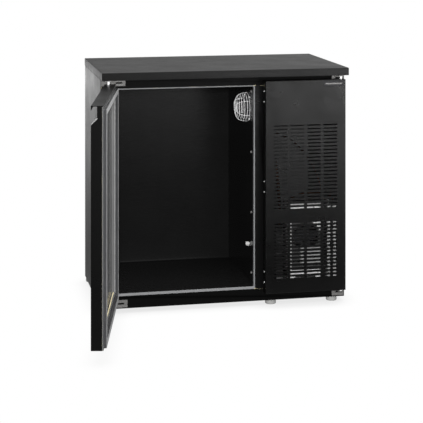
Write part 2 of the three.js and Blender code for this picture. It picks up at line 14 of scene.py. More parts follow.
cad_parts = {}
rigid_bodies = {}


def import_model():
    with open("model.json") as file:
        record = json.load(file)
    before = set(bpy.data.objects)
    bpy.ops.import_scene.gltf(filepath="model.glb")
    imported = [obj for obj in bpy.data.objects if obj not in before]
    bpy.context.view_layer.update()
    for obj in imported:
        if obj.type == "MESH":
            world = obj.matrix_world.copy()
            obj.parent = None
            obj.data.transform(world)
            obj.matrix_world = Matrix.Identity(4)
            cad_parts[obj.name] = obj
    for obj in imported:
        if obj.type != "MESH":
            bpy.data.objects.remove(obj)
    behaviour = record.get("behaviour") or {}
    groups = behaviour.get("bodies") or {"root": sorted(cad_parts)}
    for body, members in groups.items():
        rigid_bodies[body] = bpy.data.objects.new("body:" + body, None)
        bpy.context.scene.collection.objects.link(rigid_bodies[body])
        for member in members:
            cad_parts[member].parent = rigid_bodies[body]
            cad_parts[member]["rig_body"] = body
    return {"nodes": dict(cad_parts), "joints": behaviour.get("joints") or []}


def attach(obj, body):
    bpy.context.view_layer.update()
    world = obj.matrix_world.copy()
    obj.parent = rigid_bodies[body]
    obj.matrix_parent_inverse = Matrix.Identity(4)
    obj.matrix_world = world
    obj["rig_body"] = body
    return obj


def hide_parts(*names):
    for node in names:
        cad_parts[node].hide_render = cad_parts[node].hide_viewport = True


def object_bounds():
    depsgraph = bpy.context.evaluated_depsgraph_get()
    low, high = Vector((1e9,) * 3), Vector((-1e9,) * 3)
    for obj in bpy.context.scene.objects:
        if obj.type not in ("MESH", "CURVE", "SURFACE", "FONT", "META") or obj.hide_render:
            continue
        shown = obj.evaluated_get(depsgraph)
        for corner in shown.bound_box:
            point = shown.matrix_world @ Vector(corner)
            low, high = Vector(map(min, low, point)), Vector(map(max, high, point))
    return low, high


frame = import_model()
cad_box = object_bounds()
MM = 0.001
SHEET = 1.2
joints = {joint["name"]: joint for joint in frame["joints"]}


# Planes: each turns two flat coordinates and a depth into a point
def XZ(a, b, depth):
    return Vector((a, depth, b))


def YZ(a, b, depth):
    return Vector((depth, a, b))


def XY(a, b, depth):
    return Vector((a, b, depth))


def joint_place(joint):
    """A joint's place in millimetres."""
    return Vector(joints[joint]["pos_m"]) / MM


# The door's swing, in metres, takes shut places to the rest pose
door_pin = joint_place("door_hinge")
door_swing = (
    Matrix.Translation(door_pin * MM)
    @ Matrix.Rotation(math.radians(joints["door_hinge"]["range_deg"][0]), 4, "Z")
    @ Matrix.Translation(-door_pin * MM)
)


def span(node):
    """A node's lowest and highest corners in millimetres; a door node's with the door shut."""
    cad = frame["nodes"][node]
    shut = door_swing.inverted() if cad["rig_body"] == "door" else Matrix()
    points = [shut @ v.co / MM for v in cad.data.vertices]
    return [pick(p[i] for p in points) for pick in (min, max) for i in range(3)]


# ---------------------------------------------------------------- outlines
def square(a, b, half):
    """The rectangle round a point that reaches half in each direction."""
    return (a - half, b - half, a + half, b + half)


def around(count, offset=0.0):
    """Cosine and sine at even steps round a circle."""
    angles = [math.tau * (k + offset) / count for k in range(count)]
    return [(math.cos(angle), math.sin(angle)) for angle in angles]


def filleted(points, radius, steps=4, closed=True):
    """An outline with rounded corners. A point may carry its own radius as a third number."""
    rounded = []
    for i, point in enumerate(points):
        here = Vector(point[:2])
        reach = point[2] if len(point) > 2 else radius
        if reach <= 0 or (not closed and i in (0, len(points) - 1)):
            rounded.append(here)
            continue
        before = Vector(points[i - 1][:2]) - here
        after = Vector(points[(i + 1) % len(points)][:2]) - here
        half = before.angle(after) / 2
        cut = min(reach / math.tan(half), before.length * 0.48, after.length * 0.48)
        start, end = here + before.normalized() * cut, here + after.normalized() * cut
        for k in range(steps + 1):
            t = k / steps
            rounded.append(start * (1 - t) ** 2 + here * (2 * t * (1 - t)) + end * t * t)
    return rounded


def rounded_rect(rect, radius, steps=4):
    """Corner arcs in order: low-low, high-low, high-high, low-high."""
    a0, b0, a1, b1 = rect
    radius = max(min(radius, (a1 - a0) / 2, (b1 - b0) / 2), 0.02)
    centres = [(a0 + radius, b0 + radius, 180), (a1 - radius, b0 + radius, 270),
               (a1 - radius, b1 - radius, 0), (a0 + radius, b1 - radius, 90)]
    points = []
    for a, b, start in centres:
        for k in range(steps + 1):
            angle = math.radians(start + 90 * k / steps)
            points.append((a + radius * math.cos(angle), b + radius * math.sin(angle)))
    return points


def inset(rect, amount):
    return (rect[0] + amount, rect[1] + amount, rect[2] - amount, rect[3] - amount)


# ---------------------------------------------------------------- mesh building
def loft(bm, loops, ring=False, caps=True):
    """A skin from loop to loop, capped at both ends or closed into a ring."""
    rows = [[bm.verts.new(point) for point in loop] for loop in loops]
    pairs = list(zip(rows, rows[1:]))
    if ring:
        pairs.append((rows[-1], rows[0]))
    for first, second in pairs:
        for i in range(len(first)):
            j = (i + 1) % len(first)
            bm.faces.new((first[i], first[j], second[j], second[i]))
    if caps and not ring:
        bm.faces.new(rows[0][::-1])
        bm.faces.new(rows[-1])


def rect_loft(bm, plane, sections, steps=4, ring=False, caps=True):
    """Sections are (rect, corner radius, depth)."""
    loft(bm, [[plane(a, b, depth) for a, b in rounded_rect(rect, radius, steps)]
              for rect, radius, depth in sections], ring, caps)


def profile_loft(bm, plane, rect, corner, profile, steps=4, ring=False, caps=True):
    """A profile of (inset, depth) points carried round a rounded rectangle."""
    rect_loft(bm, plane, [(inset(rect, i), max(corner - i, 0), d) for i, d in profile],
              steps, ring, caps)


def band(bm, rect, corner, points, ease, arc=3, steps=4):
    """An upright ring round a rectangle; its section is an outline of (inset, depth) points."""
    profile_loft(bm, XZ, rect, corner, filleted(points, ease, arc), steps, ring=True)


def slab(bm, plane, rect, d0, d1, corner=0.6, edge=0.4, steps=3):
    """A plate with rounded corners and eased edges."""
    profile = filleted([(edge * 4, d0), (0, d0), (0, d1), (edge * 4, d1)], edge, 3, closed=False)
    profile_loft(bm, plane, rect, corner, profile, steps)


def beam(bm, plane, outline, d0, d1):
    """A flat outline drawn out straight."""
    loft(bm, [[plane(a, b, d0) for a, b in outline], [plane(a, b, d1) for a, b in outline]])


def facing(axis):
    """The turn that takes Z to an axis."""
    return Vector((0, 0, 1)).rotation_difference(Vector(axis)).to_matrix()


def lathe(bm, centre, axis, profile, sides=32):
    """Profile points (radius, height) turned about an axis through centre; ends are capped."""
    turn = facing(axis)
    profile = [(max(radius, 0.02), height) for radius, height in profile]
    loft(bm, [[Vector(centre) + turn @ Vector((radius * c, radius * s, height))
               for c, s in around(sides)] for radius, height in profile])


def smooth_path(points, per_span=8):
    """A centripetal curve through the points."""
    path = [Vector(p) for p in points]
    path = [path[0] * 2 - path[1]] + path + [path[-1] * 2 - path[-2]]

    def between(a, b, start, end, t):
        return a * ((end - t) / (end - start)) + b * ((t - start) / (end - start))

    curve = []
    for i in range(1, len(path) - 2):
        p0, p1, p2, p3 = path[i - 1:i + 3]
        t1 = (p1 - p0).length ** 0.5
        t2 = t1 + (p2 - p1).length ** 0.5
        t3 = t2 + (p3 - p2).length ** 0.5
        for k in range(per_span):
            t = t1 + (t2 - t1) * k / per_span
            first, second = between(p0, p1, 0, t1, t), between(p1, p2, t1, t2, t)
            third = between(p2, p3, t2, t3, t)
            near, far = between(first, second, 0, t2, t), between(second, third, t1, t3, t)
            curve.append(between(near, far, t1, t2, t))
    return curve + [path[-2]]


def sweep(bm, path, radius, sides=12, closed=False):
    """A round wire along a path of points."""
    path = [Vector(p) for p in path]
    count = len(path)
    side = None
    loops = []
    for i, point in enumerate(path):
        after = path[(i + 1) % count] if closed or i < count - 1 else point
        before = path[i - 1] if closed or i > 0 else point
        ahead = (after - before).normalized()
        if side is None:
            side = ahead.orthogonal().normalized()
        side = (side - ahead * side.dot(ahead)).normalized()
        other = ahead.cross(side)
        loops.append([point + (side * c + other * s) * radius for c, s in around(sides)])
    loft(bm, loops, ring=closed)


def circle(centre, axis, radius, count):
    turn = facing(axis)
    return [Vector(centre) + turn @ Vector((radius * c, radius * s, 0)) for c, s in around(count)]


def screw(bm, centre, axis, radius, height=None, sides=24):
    """A domed head with a cross recess."""
    height = height or radius * 0.55
    turn = facing(axis)

    def ring(scale, level, cross=0.0):
        loop = []
        for k, (c, s) in enumerate(around(sides)):
            reach = radius * scale * (1 - cross * (0.62 if k % 6 in (2, 3, 4) else 0.0))
            loop.append(Vector(centre) + turn @ Vector((reach * c, reach * s, level)))
        return loop

    loft(bm, [ring(1, 0), ring(1, height * 0.25), ring(0.93, height * 0.55), ring(0.75, height * 0.85),
              ring(0.6, height), ring(0.55, height, 1), ring(0.45, height * 0.35, 1)])


def holed_sheet(bm, plane, us, vs, holes, d0, d1, steps=4):
    """A sheet on a grid. holes maps a cell to its hole as (rect, corner radius)."""
    lines = {}

    def at(u, v, d):
        key = (round(u, 4), round(v, 4), round(d, 4))
        if key not in lines:
            lines[key] = bm.verts.new(plane(u, v, d))
        return lines[key]

    for i in range(len(us) - 1):
        for j in range(len(vs) - 1):
            cell = [(us[i], vs[j]), (us[i + 1], vs[j]), (us[i + 1], vs[j + 1]), (us[i], vs[j + 1])]
            hole = holes.get((i, j))
            if not hole:
                for d in (d0, d1):
                    bm.faces.new([at(u, v, d) for u, v in cell])
                continue
            loop = rounded_rect(hole[0], hole[1], steps)
            size = steps + 1
            middle = size // 2
            for k in range(4):
                following = (k + 1) % 4
                arc = [loop[following * size + m] for m in range(middle, -1, -1)]
                arc += [loop[k * size + m] for m in range(size - 1, middle - 1, -1)]
                for d in (d0, d1):
                    corners = [at(u, v, d) for u, v in [cell[k], cell[following], *arc]]
                    bm.faces.new(list(dict.fromkeys(corners)))
            for m in range(len(loop)):
                wall = [at(*loop[m], d0), at(*loop[(m + 1) % len(loop)], d0)]
                if wall[0] is not wall[1]:
                    bm.faces.new([*wall, at(*loop[(m + 1) % len(loop)], d1), at(*loop[m], d1)])
    border = [(u, vs[0]) for u in us] + [(us[-1], v) for v in vs[1:]]
    border += [(u, vs[-1]) for u in us[-2::-1]] + [(us[0], v) for v in vs[-2:0:-1]]
    for m in range(len(border)):
        n = (m + 1) % len(border)
        bm.faces.new([at(*border[m], d0), at(*border[n], d0), at(*border[n], d1), at(*border[m], d1)])


def soften(thing, width):
    """Eases a piece's edges by a width in millimetres."""
    bevel = thing.modifiers.new("eased_edges", "BEVEL")
    bevel.width = width * MM
    bevel.segments = 2
    bevel.limit_method = "ANGLE"
    bevel.angle_limit = math.radians(35)
    bevel.harden_normals = True


def piece(material, node, name=None, hides=True, bevel=None, angle=35):
    """Makes a piece from the builder under it, which fills an empty mesh.

    The piece rides on the node's body and takes the builder's name. The builder is given the
    node's box, and the piece stands for the node unless hides is off.
    """
    def make(build):
        body = frame["nodes"][node]["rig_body"]
        bm = bmesh.new()
        build(bm, *span(node))
        bm.transform(Matrix.Scale(MM, 4))
        bmesh.ops.remove_doubles(bm, verts=bm.verts, dist=1e-6)
        bmesh.ops.dissolve_degenerate(bm, edges=bm.edges, dist=1e-7)
        bmesh.ops.recalc_face_normals(bm, faces=bm.faces)
        if body == "door":
            bm.transform(door_swing)
        mesh = bpy.data.meshes.new(name or build.__name__)
        bm.to_mesh(mesh)
        bm.free()
        mesh.shade_smooth()
        mesh.set_sharp_from_angle(angle=math.radians(angle))
        mesh.materials.append(material)
        thing = bpy.data.objects.new(mesh.name, mesh)
        bpy.context.scene.collection.objects.link(thing)
        if bevel:
            soften(thing, bevel)
        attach(thing, body)
        if hides:
            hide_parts(node)
        return build

    return make


def keep(node, material, bevel=None):
    """A frame node that is shown as it is, in a finish of its own."""
    thing = frame["nodes"][node]
    thing.data.materials.clear()
    thing.data.materials.append(material)
    if bevel:
        soften(thing, bevel)


# ---------------------------------------------------------------- materials
class Nodes:
    """A short way to wire up the nodes of a material or a world."""

    def __init__(self, owner):
        owner.use_nodes = True
        self.tree = owner.node_tree

    def add(self, kind, **values):
        node = self.tree.nodes.new("ShaderNode" + kind)
        for key, value in values.items():
            setattr(node, key, value)
        return node

    def feed(self, value, socket):
        if hasattr(value, "links"):
            self.tree.links.new(value, socket)
        else:
            socket.default_value = value

    def ramp(self, value, low, high, into=(0.0, 1.0)):
        """A value mapped from low..high to a new range."""
        node = self.add("MapRange")
        self.feed(value, node.inputs["Value"])
        for key, number in zip(("From Min", "From Max", "To Min", "To Max"), (low, high, *into)):
            node.inputs[key].default_value = number
        return node.outputs["Result"]

    def blend(self, factor, first, second, kind="MIX"):
        node = self.add("Mix", data_type="RGBA", blend_type=kind)
        self.feed(factor, node.inputs[0])
        for value, index in ((first, 6), (second, 7)):
            self.feed(value if hasattr(value, "links") else (*value, 1), node.inputs[index])
        return node.outputs[2]

    def curve(self, value, stops, interpolation="LINEAR"):
        """A grey level read off (place, level) stops, which run from place 0 to place 1."""
        node = self.add("ValToRGB")
        ramp = node.color_ramp
        ramp.interpolation = interpolation
        for element, (_, level) in zip(ramp.elements, (stops[0], stops[-1])):
            element.color = (*grey(level), 1)
        for place, level in stops[1:-1]:
            ramp.elements.new(place).color = (*grey(level), 1)
        self.feed(value, node.inputs["Fac"])
        return node.outputs["Color"]

    def axes(self, vector):
        node = self.add("SeparateXYZ")
        self.feed(vector, node.inputs["Vector"])
        return node.outputs

    def by_ray(self, otherwise, glossy, seen):
        """One level for what glossy rays meet, one for the camera's, and one for the rest."""
        path = self.add("LightPath").outputs
        return self.blend(path["Is Camera Ray"], self.blend(path["Is Glossy Ray"], otherwise, glossy), seen)


class Finish(Nodes):
    """A surface material with its patterns laid in the object's own space."""

    def __init__(self, name):
        self.material = bpy.data.materials.new(name)
        super().__init__(self.material)
        self.shader = self.tree.nodes["Principled BSDF"]
        self.place = self.add("TexCoord").outputs["Object"]

    def stretched(self, scale):
        node = self.add("Mapping")
        self.feed(self.place, node.inputs["Vector"])
        node.inputs["Scale"].default_value = scale
        return node.outputs["Vector"]

    def noise(self, scale, detail=4.0, rough=0.5, vector=None):
        node = self.add("TexNoise")
        for key, value in (("Vector", vector or self.place), ("Scale", scale), ("Detail", detail),
                           ("Roughness", rough)):
            self.feed(value, node.inputs[key])
        return node.outputs["Fac"]

    def cells(self, scale, feature="F1", output="Color"):
        node = self.add("TexVoronoi", feature=feature)
        self.feed(self.place, node.inputs["Vector"])
        self.feed(scale, node.inputs["Scale"])
        return node.outputs[output]

    def bump(self, height, distance, strength=1.0, onto=None):
        node = self.add("Bump")
        self.feed(height, node.inputs["Height"])
        self.feed(distance, node.inputs["Distance"])
        self.feed(strength, node.inputs["Strength"])
        if onto is not None:
            self.feed(onto, node.inputs["Normal"])
        return node.outputs["Normal"]

    def edges(self, low=0.505, high=0.56):
        # Pointiness, high on convex edges: the finishes paint such edges lighter, partly as rubbed wear and
        # partly as a painted edge highlight.
        return self.ramp(self.add("NewGeometry").outputs["Pointiness"], low, high)

    def done(self, colour, rough, metallic, normal, **more):
        more.update(Base_Color=colour, Roughness=rough, Metallic=metallic, Normal=normal)
        for key, value in more.items():
            self.feed(value, self.shader.inputs[key.replace("_", " ")])
        return self.material


def grey(value, warm=0.0):
    return (value * (1 + warm), value, value * (1 - warm))


def powder_coat(name, shade, rough, level=0.5, peel=1.0):
    """Baked powder: a fine orange peel, faint cloudy wipe marks, and edges painted lighter, partly as
    rubbed wear and partly as a painted highlight.
    """
    n = Finish(name)
    clouds = n.noise(5.0, 6.0, 0.6)
    dust = n.noise(260.0, 3.0, 0.6)
    base = n.blend(n.ramp(clouds, 0.3, 0.7), grey(shade * 0.86), grey(shade * 1.14))
    base = n.blend(n.ramp(dust, 0.62, 0.8, (0.0, 0.35)), base, grey(shade * 2.2))
    # Lighter convex edges: rubbed wear and a painted edge highlight.
    base = n.blend(n.edges(), base, grey(min(shade * 3.5, 0.5)))
    roughness = n.ramp(n.noise(9.0, 5.0, 0.65), 0.25, 0.75, (rough - 0.06, rough + 0.07))
    fine = n.bump(n.cells(1500.0, "SMOOTH_F1", "Distance"), 0.00003 * peel)
    normal = n.bump(n.noise(420.0, 2.0), 0.00004 * peel, 0.6, fine)
    return n.done(base, roughness, 0.0, normal, Specular_IOR_Level=level)


def rolled_sheet(name, shade, rough, grain, metallic=1.0, mottle=0.12, level=0.5):
    """Plain metal sheet with a rolling grain, and a slight waviness in its reflections."""
    n = Finish(name)
    lines = n.noise(1.0, 6.0, 0.6, n.stretched(grain))
    clouds = n.noise(7.0, 4.0, 0.55)
    base = n.blend(n.ramp(clouds, 0.3, 0.7), grey(shade * (1 - mottle)), grey(shade * (1 + mottle)))
    base = n.blend(n.ramp(lines, 0.35, 0.7, (0.0, 0.3)), base, grey(shade * 0.7))
    # Lighter convex edges: rubbed wear and a painted edge highlight.
    base = n.blend(n.edges(), base, grey(min(shade * 1.8, 0.9)))
    roughness = n.ramp(lines, 0.3, 0.7, (rough * 0.75, rough * 1.3))
    waves = n.bump(n.noise(3.2, 2.0), 0.0016)
    normal = n.bump(lines, 0.00003, 0.7, waves)
    return n.done(base, roughness, metallic, normal, Specular_IOR_Level=level)


def spangled(name, shade, rough):
    """Hot-dip galvanised steel: frosted crystals, each with its own sheen."""
    n = Finish(name)
    crystal = n.cells(110.0)
    tone = n.add("RGBToBW")
    n.feed(crystal, tone.inputs["Color"])
    stains = n.noise(14.0, 5.0, 0.6)
    base = n.blend(tone.outputs["Val"], grey(shade * 0.8), grey(shade * 1.12))
    base = n.blend(n.ramp(stains, 0.55, 0.8, (0.0, 0.4)), base, grey(shade * 0.6, 0.03))
    roughness = n.ramp(tone.outputs["Val"], 0.1, 0.9, (rough - 0.1, rough + 0.15))
    normal = n.bump(n.noise(600.0, 3.0), 0.00002)
    return n.done(base, roughness, 0.6, normal)


def plated(name, shade, rough, warm=0.0, metallic=0.7):
    """Zinc or chrome plate with drawn marks and dull spots scattered at random."""
    n = Finish(name)
    marks = n.noise(1.0, 5.0, 0.6, n.stretched((900.0, 900.0, 60.0)))
    spots = n.noise(120.0, 4.0, 0.6)
    base = n.blend(n.ramp(spots, 0.45, 0.75), grey(shade, warm), grey(shade * 0.72, warm))
    roughness = n.ramp(marks, 0.3, 0.7, (rough * 0.7, rough * 1.4))
    return n.done(base, roughness, metallic, n.bump(marks, 0.00002, 0.5))


def moulded(name, colour, rough, grain=900.0, sheen=0.0, depth=0.00003, crease_shade_depth=0.0):
    """Moulded plastic or rubber with a spark-eroded grain, a little handling dirt, and, when asked, painted
    shade that darkens its creases.
    """
    n = Finish(name)
    dirt = n.noise(35.0, 5.0, 0.6)
    dark = tuple(c * 0.72 for c in colour)
    light = tuple(min(c * 1.25, 0.95) for c in colour)
    base = n.blend(n.ramp(dirt, 0.35, 0.75), colour, dark)
    # Lighter convex edges: rubbed wear and a painted edge highlight.
    base = n.blend(n.edges(0.51, 0.6), base, light)
    if crease_shade_depth:
        # Painted shade: the colour darkens to a fifth in creases and recesses, read off an occlusion node.
        crease_occlusion = n.add("AmbientOcclusion")
        crease_occlusion.inputs["Distance"].default_value = crease_shade_depth
        base = n.blend(n.ramp(crease_occlusion.outputs["AO"], 0.35, 0.85), tuple(c * 0.2 for c in colour), base)
    roughness = n.ramp(n.noise(60.0, 4.0), 0.3, 0.7, (rough - 0.06, rough + 0.08))
    normal = n.bump(n.noise(grain, 3.0), depth)
    return n.done(base, roughness, 0.0, normal, Sheen_Weight=sheen)


def copper_tube(name):
    n = Finish(name)
    tarnish = n.noise(45.0, 6.0, 0.65)
    base = n.blend(n.ramp(tarnish, 0.4, 0.7), (0.52, 0.23, 0.12), (0.2, 0.1, 0.065))
    base = n.blend(n.ramp(n.noise(9.0, 3.0), 0.6, 0.8, (0.0, 0.5)), base, (0.12, 0.1, 0.08))
    roughness = n.ramp(tarnish, 0.3, 0.75, (0.22, 0.5))
    return n.done(base, roughness, 1.0, n.bump(n.noise(500.0), 0.00002))


def foam_core(name):
    n = Finish(name)
    pores = n.cells(900.0, "F1", "Distance")
    base = n.blend(n.noise(40.0, 5.0), (0.6, 0.52, 0.3), (0.72, 0.64, 0.42))
    return n.done(base, n.ramp(pores, 0.0, 1.0, (0.8, 0.98)), 0.0, n.bump(pores, 0.0002))


WORKTOP = powder_coat("worktop_coat", 0.002, 0.36, 0.4, 1.3)
CASING = powder_coat("casing_coat", 0.01, 0.32, 0.3)
# These four are copies of one black powder coat that differ only as painted light and shade: the rails and
# the door's pull are duller and darker as painted shade for faces set back under the worktop's overhang,
# the mullion less so, and the hatch and the door's sheet reflect most, as a lit face.
FRONT_PAINTED_SHADE = powder_coat("front_frame_coat_painted_shade", 0.0004, 0.38, 0.13)
MULLION_PAINTED_SHADE = powder_coat("mullion_coat_painted_shade", 0.0004, 0.32, 0.36)
DOOR_PAINTED_SHADE = powder_coat("door_coat_painted_shade", 0.0004, 0.3, 0.165)
HATCH_PAINTED_LIGHT = powder_coat("hatch_coat_painted_light", 0.0005, 0.3, 0.6)
LINER = rolled_sheet("door_liner_sheet", 0.15, 0.2, (1500.0, 1500.0, 14.0), 0.6)
CABIN = rolled_sheet("cabin_sheet", 0.006, 0.24, (14.0, 1500.0, 1500.0), 0.5)
# Two copies of one galvanised sheet: the first is made bright as painted light for the dim machine bay, and
# the darker second copy, for the junction box, is painted shade.
GALVANISED = spangled("galvanised_sheet", 0.8, 0.34)
GALVANISED_PAINTED_SHADE = spangled("galvanised_sheet_painted_shade", 0.34, 0.4)
FINS = rolled_sheet("fin_stock", 0.5, 0.3, (60.0, 60.0, 1500.0))
# A dark and a pale copy of the plate finish: the zinc is darkened as painted shade for the hinge plates
# under the worktop's overhang, and the wire is made pale and matt-bright as painted light on the fan guard,
# the pins and the rivets.
ZINC_PAINTED_SHADE = plated("zinc_plate_painted_shade", 0.16, 0.26, 0.02, 0.6)
WIRE_PAINTED_LIGHT = plated("wire_painted_light", 0.7, 0.2, 0.0, 0.45)
# A paler copy of the liner's metal: a painted highlight along the pan's rim and the pull's edge.
BEAD_PAINTED_HIGHLIGHT = plated("bead_plate_painted_highlight", 0.24, 0.22, 0.0, 0.55)
TRIM = moulded("trim_strip", (0.088, 0.089, 0.091), 0.38)
EDGING = moulded("edging_strip", (0.046, 0.0465, 0.047), 0.4)
GASKET = moulded("seal_rubber", (0.078, 0.079, 0.081), 0.55, 1400.0, 0.1, crease_shade_depth=4 * MM)
BLACK = moulded("black_moulding", (0.012, 0.012, 0.013), 0.42)
PALE = moulded("pale_moulding", (0.25, 0.25, 0.245), 0.4)
# The feet are a darker copy of the pale moulding: painted shade, as they stand in shade under the cabinet.
FOOT_PAINTED_SHADE = moulded("foot_moulding", (0.145, 0.145, 0.142), 0.36)
ENAMEL = powder_coat("compressor_enamel", 0.008, 0.28, 0.5, 1.6)
COPPER = copper_tube("copper_tube")
FOAM = foam_core("foam_core")


# ---------------------------------------------------------------- worktop and casing
@piece(WORKTOP, "worktop")
def worktop_slab(bm, x0, y0, z0, x1, y1, z1):
    profile = filleted([(8, z0), (0, z0, 1.2), (0, z1, 2.2), (8, z1)], 1, 5, closed=False)
    profile_loft(bm, XY, (x0, y0, x1, y1), 3, profile, 5)


def side_panel(node, hand):
    """A sheet with a rolled front corner and a return that stops at the door frame."""
    x0, y0, z0, x1, y1, z1 = span(node)
    rail_top, rail_base = span("front_top_rail")[2], span("front_base_rail")[5]
    outer, inner = (x0, x1) if hand > 0 else (x1, x0)
    skin = outer + hand * SHEET

    def outline(reach):
        points = [(outer, y1), (outer, y0, 1.9), (reach, y0), (reach, y0 + SHEET),
                  (skin, y0 + SHEET, 0.7), (skin, y1)]
        return filleted(points, 0.15, 3)

    @piece(CASING, node, node + "_sheet")
    def build_sheet(bm, *_):
        short, full = outer + hand * 3, inner
        levels = [(z0, short), (rail_base, short), (rail_base, full), (rail_top, full),
                  (rail_top, short), (z1 - 2.4, short)]
        loft(bm, [[XY(a, b, z) for a, b in outline(reach)] for z, reach in levels])

    # A black strip under the worktop's edge, drawn as a joint bead: painted shadow for the gap there.
    @piece(BLACK, node, node + "_joint", hides=False)
    def build_joint_shadow_strip(bm, *_):
        near, far = sorted((outer + hand * 0.9, outer + hand * 3))
        slab(bm, XY, (near, y0 + 0.9, far, y1), z1 - 2.5, z1, 0.8, 0.1)


side_panel("side_panel_left", 1)
side_panel("side_panel_right", -1)


def front_strip(node, name, gap, material):
    """A plain face strip of the front frame, short of its neighbours by the gap."""
    @piece(material, node, name)
    def build(bm, x0, y0, z0, x1, y1, z1):
        slab(bm, XZ, (x0 + gap, z0 + 0.15, x1 - gap, z1 - 0.15), y0, y1, 0.5, 0.35)


# The rails take the darker, duller copy of the coat: painted shade under the worktop's overhang.
front_strip("front_top_rail", "top_rail_sheet", 2, FRONT_PAINTED_SHADE)
front_strip("front_base_rail", "base_rail_sheet", 2, FRONT_PAINTED_SHADE)
front_strip("front_mullion", "mullion_sheet", 0.15, MULLION_PAINTED_SHADE)


@piece(CASING, "back_panel")
def rear_sheet(bm, x0, y0, z0, x1, y1, z1):
    """The rear sheet: a cut-out for the inlet, pressed bonnet louvres and screws."""
    ix0, _, iz0, ix1, _, iz1 = span("power_inlet")
    cut = (ix0 + 4, iz0 + 4, ix1 - 4, iz1 - 4)
    us = [x0, cut[0] - 8, cut[2] + 8, x1]
    vs = [z0, cut[1] - 8, cut[3] + 8, z1]
    holed_sheet(bm, XZ, us, vs, {(1, 1): (cut, 2)}, y0, y1)
    bay = span("partition_panel")[3] + 20
    pitch, rows, first, step = (x1 - 25 - bay) / 2, 12, z0 + 300, 28
    bonnet = [(0, y1 - 0.4), (0.6, y1 + 1), (2, y1 + 2.2), (4.5, y1 + 2.8)]
    for left in (bay + 6, bay + pitch + 6):
        for low in (first + row * step for row in range(rows)):
            profile_loft(bm, XZ, (left, low, left + pitch - 12, low + 14), 7, bonnet, 4)
    places = [(x0 + 14 + (x1 - x0 - 28) * i / 4, z) for i in range(5) for z in (z0 + 9, z1 - 9)]
    places += [(x, z0 + (z1 - z0) * i / 5) for i in range(1, 5) for x in (x0 + 9, x1 - 9)]
    for x, z in places:
        screw(bm, (x, y1, z), (0, 1, 0), 4, 2)


keep("base_pan", GALVANISED, 0.4)
keep("partition_panel", GALVANISED, 0.4)
for wall in ("left", "partition", "top", "floor", "back"):
    keep("insulation_" + wall, FOAM, 0.5)


# ---------------------------------------------------------------- keg compartment
@piece(CABIN, "inner_liner")
def cabin_liner(bm, x0, y0, z0, x1, y1, z1):
    """One folded box with coved corners, open to the front."""
    rect = inset((x0, z0, x1, z1), SHEET)
    cove = 9
    back = y1 - SHEET
    inside = filleted([(30, back), (0, back, cove), (0, y0)], cove, 6, closed=False)
    outside = filleted([(-SHEET, y0), (-SHEET, y1, cove), (30, y1)], cove, 6, closed=False)
    profile_loft(bm, XZ, rect, cove, inside + outside, 6)


@piece(TRIM, "opening_trim")
def opening_strip(bm, x0, y0, z0, x1, y1, z1):
    """A moulded strip round the opening, with a rounded face and a lip into the liner."""
    hole = (x0 + 5, z0 + 10, x1 - 5, z1 - 4)
    rim = (x0, z0, x1, z1)
    face = [(rim, 4, y1), (rim, 4, y0 + 0.6), (inset(rim, 0.6), 3.4, y0),
            (inset(hole, -0.9), 4, y0), (inset(hole, -0.2), 3.6, y0 + 0.4),
            (hole, 3.4, y0 + 1.2), (hole, 3.4, y1 + 10),
            (inset(hole, -0.9), 4, y1 + 10), (inset(hole, -0.9), 4, y1)]
    rect_loft(bm, XZ, face, 5, ring=True)


fan_x0, fan_y0, fan_z0, fan_x1, fan_y1, fan_z1 = span("cabin_fan_frame")
fan_y, fan_z = (fan_y0 + fan_y1) / 2, (fan_z0 + fan_z1) / 2
knob_joint = joint_place("thermostat_turn")


@piece(CABIN, "evaporator_cover", bevel=0.3)
def coil_cover(bm, x0, y0, z0, x1, y1, z1):
    """The evaporator's cover, with a bore for the fan and a hole for the knob's shaft."""
    bore, cell = 54, 70
    hole, post = 5, 12
    us = [y0, fan_y - cell, fan_y + cell, y1]
    vs = [z0, knob_joint.z - post, knob_joint.z + post, fan_z - cell, fan_z + cell, z1]
    shaft, ring = square(knob_joint.y, knob_joint.z, hole), square(fan_y, fan_z, bore)
    holed_sheet(bm, YZ, us, vs, {(1, 1): (shaft, hole), (1, 3): (ring, bore)}, x0, x1, 8)


for i in range(1, 5):
    @piece(ZINC_PAINTED_SHADE, f"cover_screw_{i}", f"cover_stud_{i}")
    def build_stud(bm, x0, y0, z0, x1, y1, z1):
        screw(bm, (x1, (y0 + y1) / 2, (z0 + z1) / 2), (-1, 0, 0), (z1 - z0) / 2, x1 - x0)


def fin_block(bm, low, high, along, pitch, thickness, tube_radius, rows):
    """A stack of thin fins crossed by level tubes."""
    axis = "xyz".index(along)
    start, end = low[axis], high[axis]
    count = int((end - start) / pitch)
    plane, across = (YZ, 1) if along == "x" else (XZ, 0)
    fin = [(low[across], low[2]), (high[across], low[2]), (high[across], high[2]), (low[across], high[2])]
    for i in range(count + 1):
        middle = start + (end - start) * i / count
        beam(bm, plane, fin, middle - thickness / 2, middle + thickness / 2)
    for row in range(rows):
        place = (low[across] + high[across]) / 2, low[2] + (high[2] - low[2]) * (row + 0.5) / rows
        sweep(bm, [plane(*place, start), plane(*place, end)], tube_radius, 10)


@piece(FINS, "evaporator_coil")
def evaporator_fins(bm, x0, y0, z0, x1, y1, z1):
    low, high = (x0 + 1, y0 + 3, z0 + 4), (x1 - 1, y1 - 3, z1 - 4)
    fin_block(bm, low, high, "y", 5, 0.4, 4.5, 12)
    for y in (y0, y1 - 1.2):
        slab(bm, XZ, (x0, z0, x1, z1), y, y + 1.2, 1, 0.2)


keep("drain_pan", GALVANISED, 0.3)
keep("thermostat_body", PALE, 1)


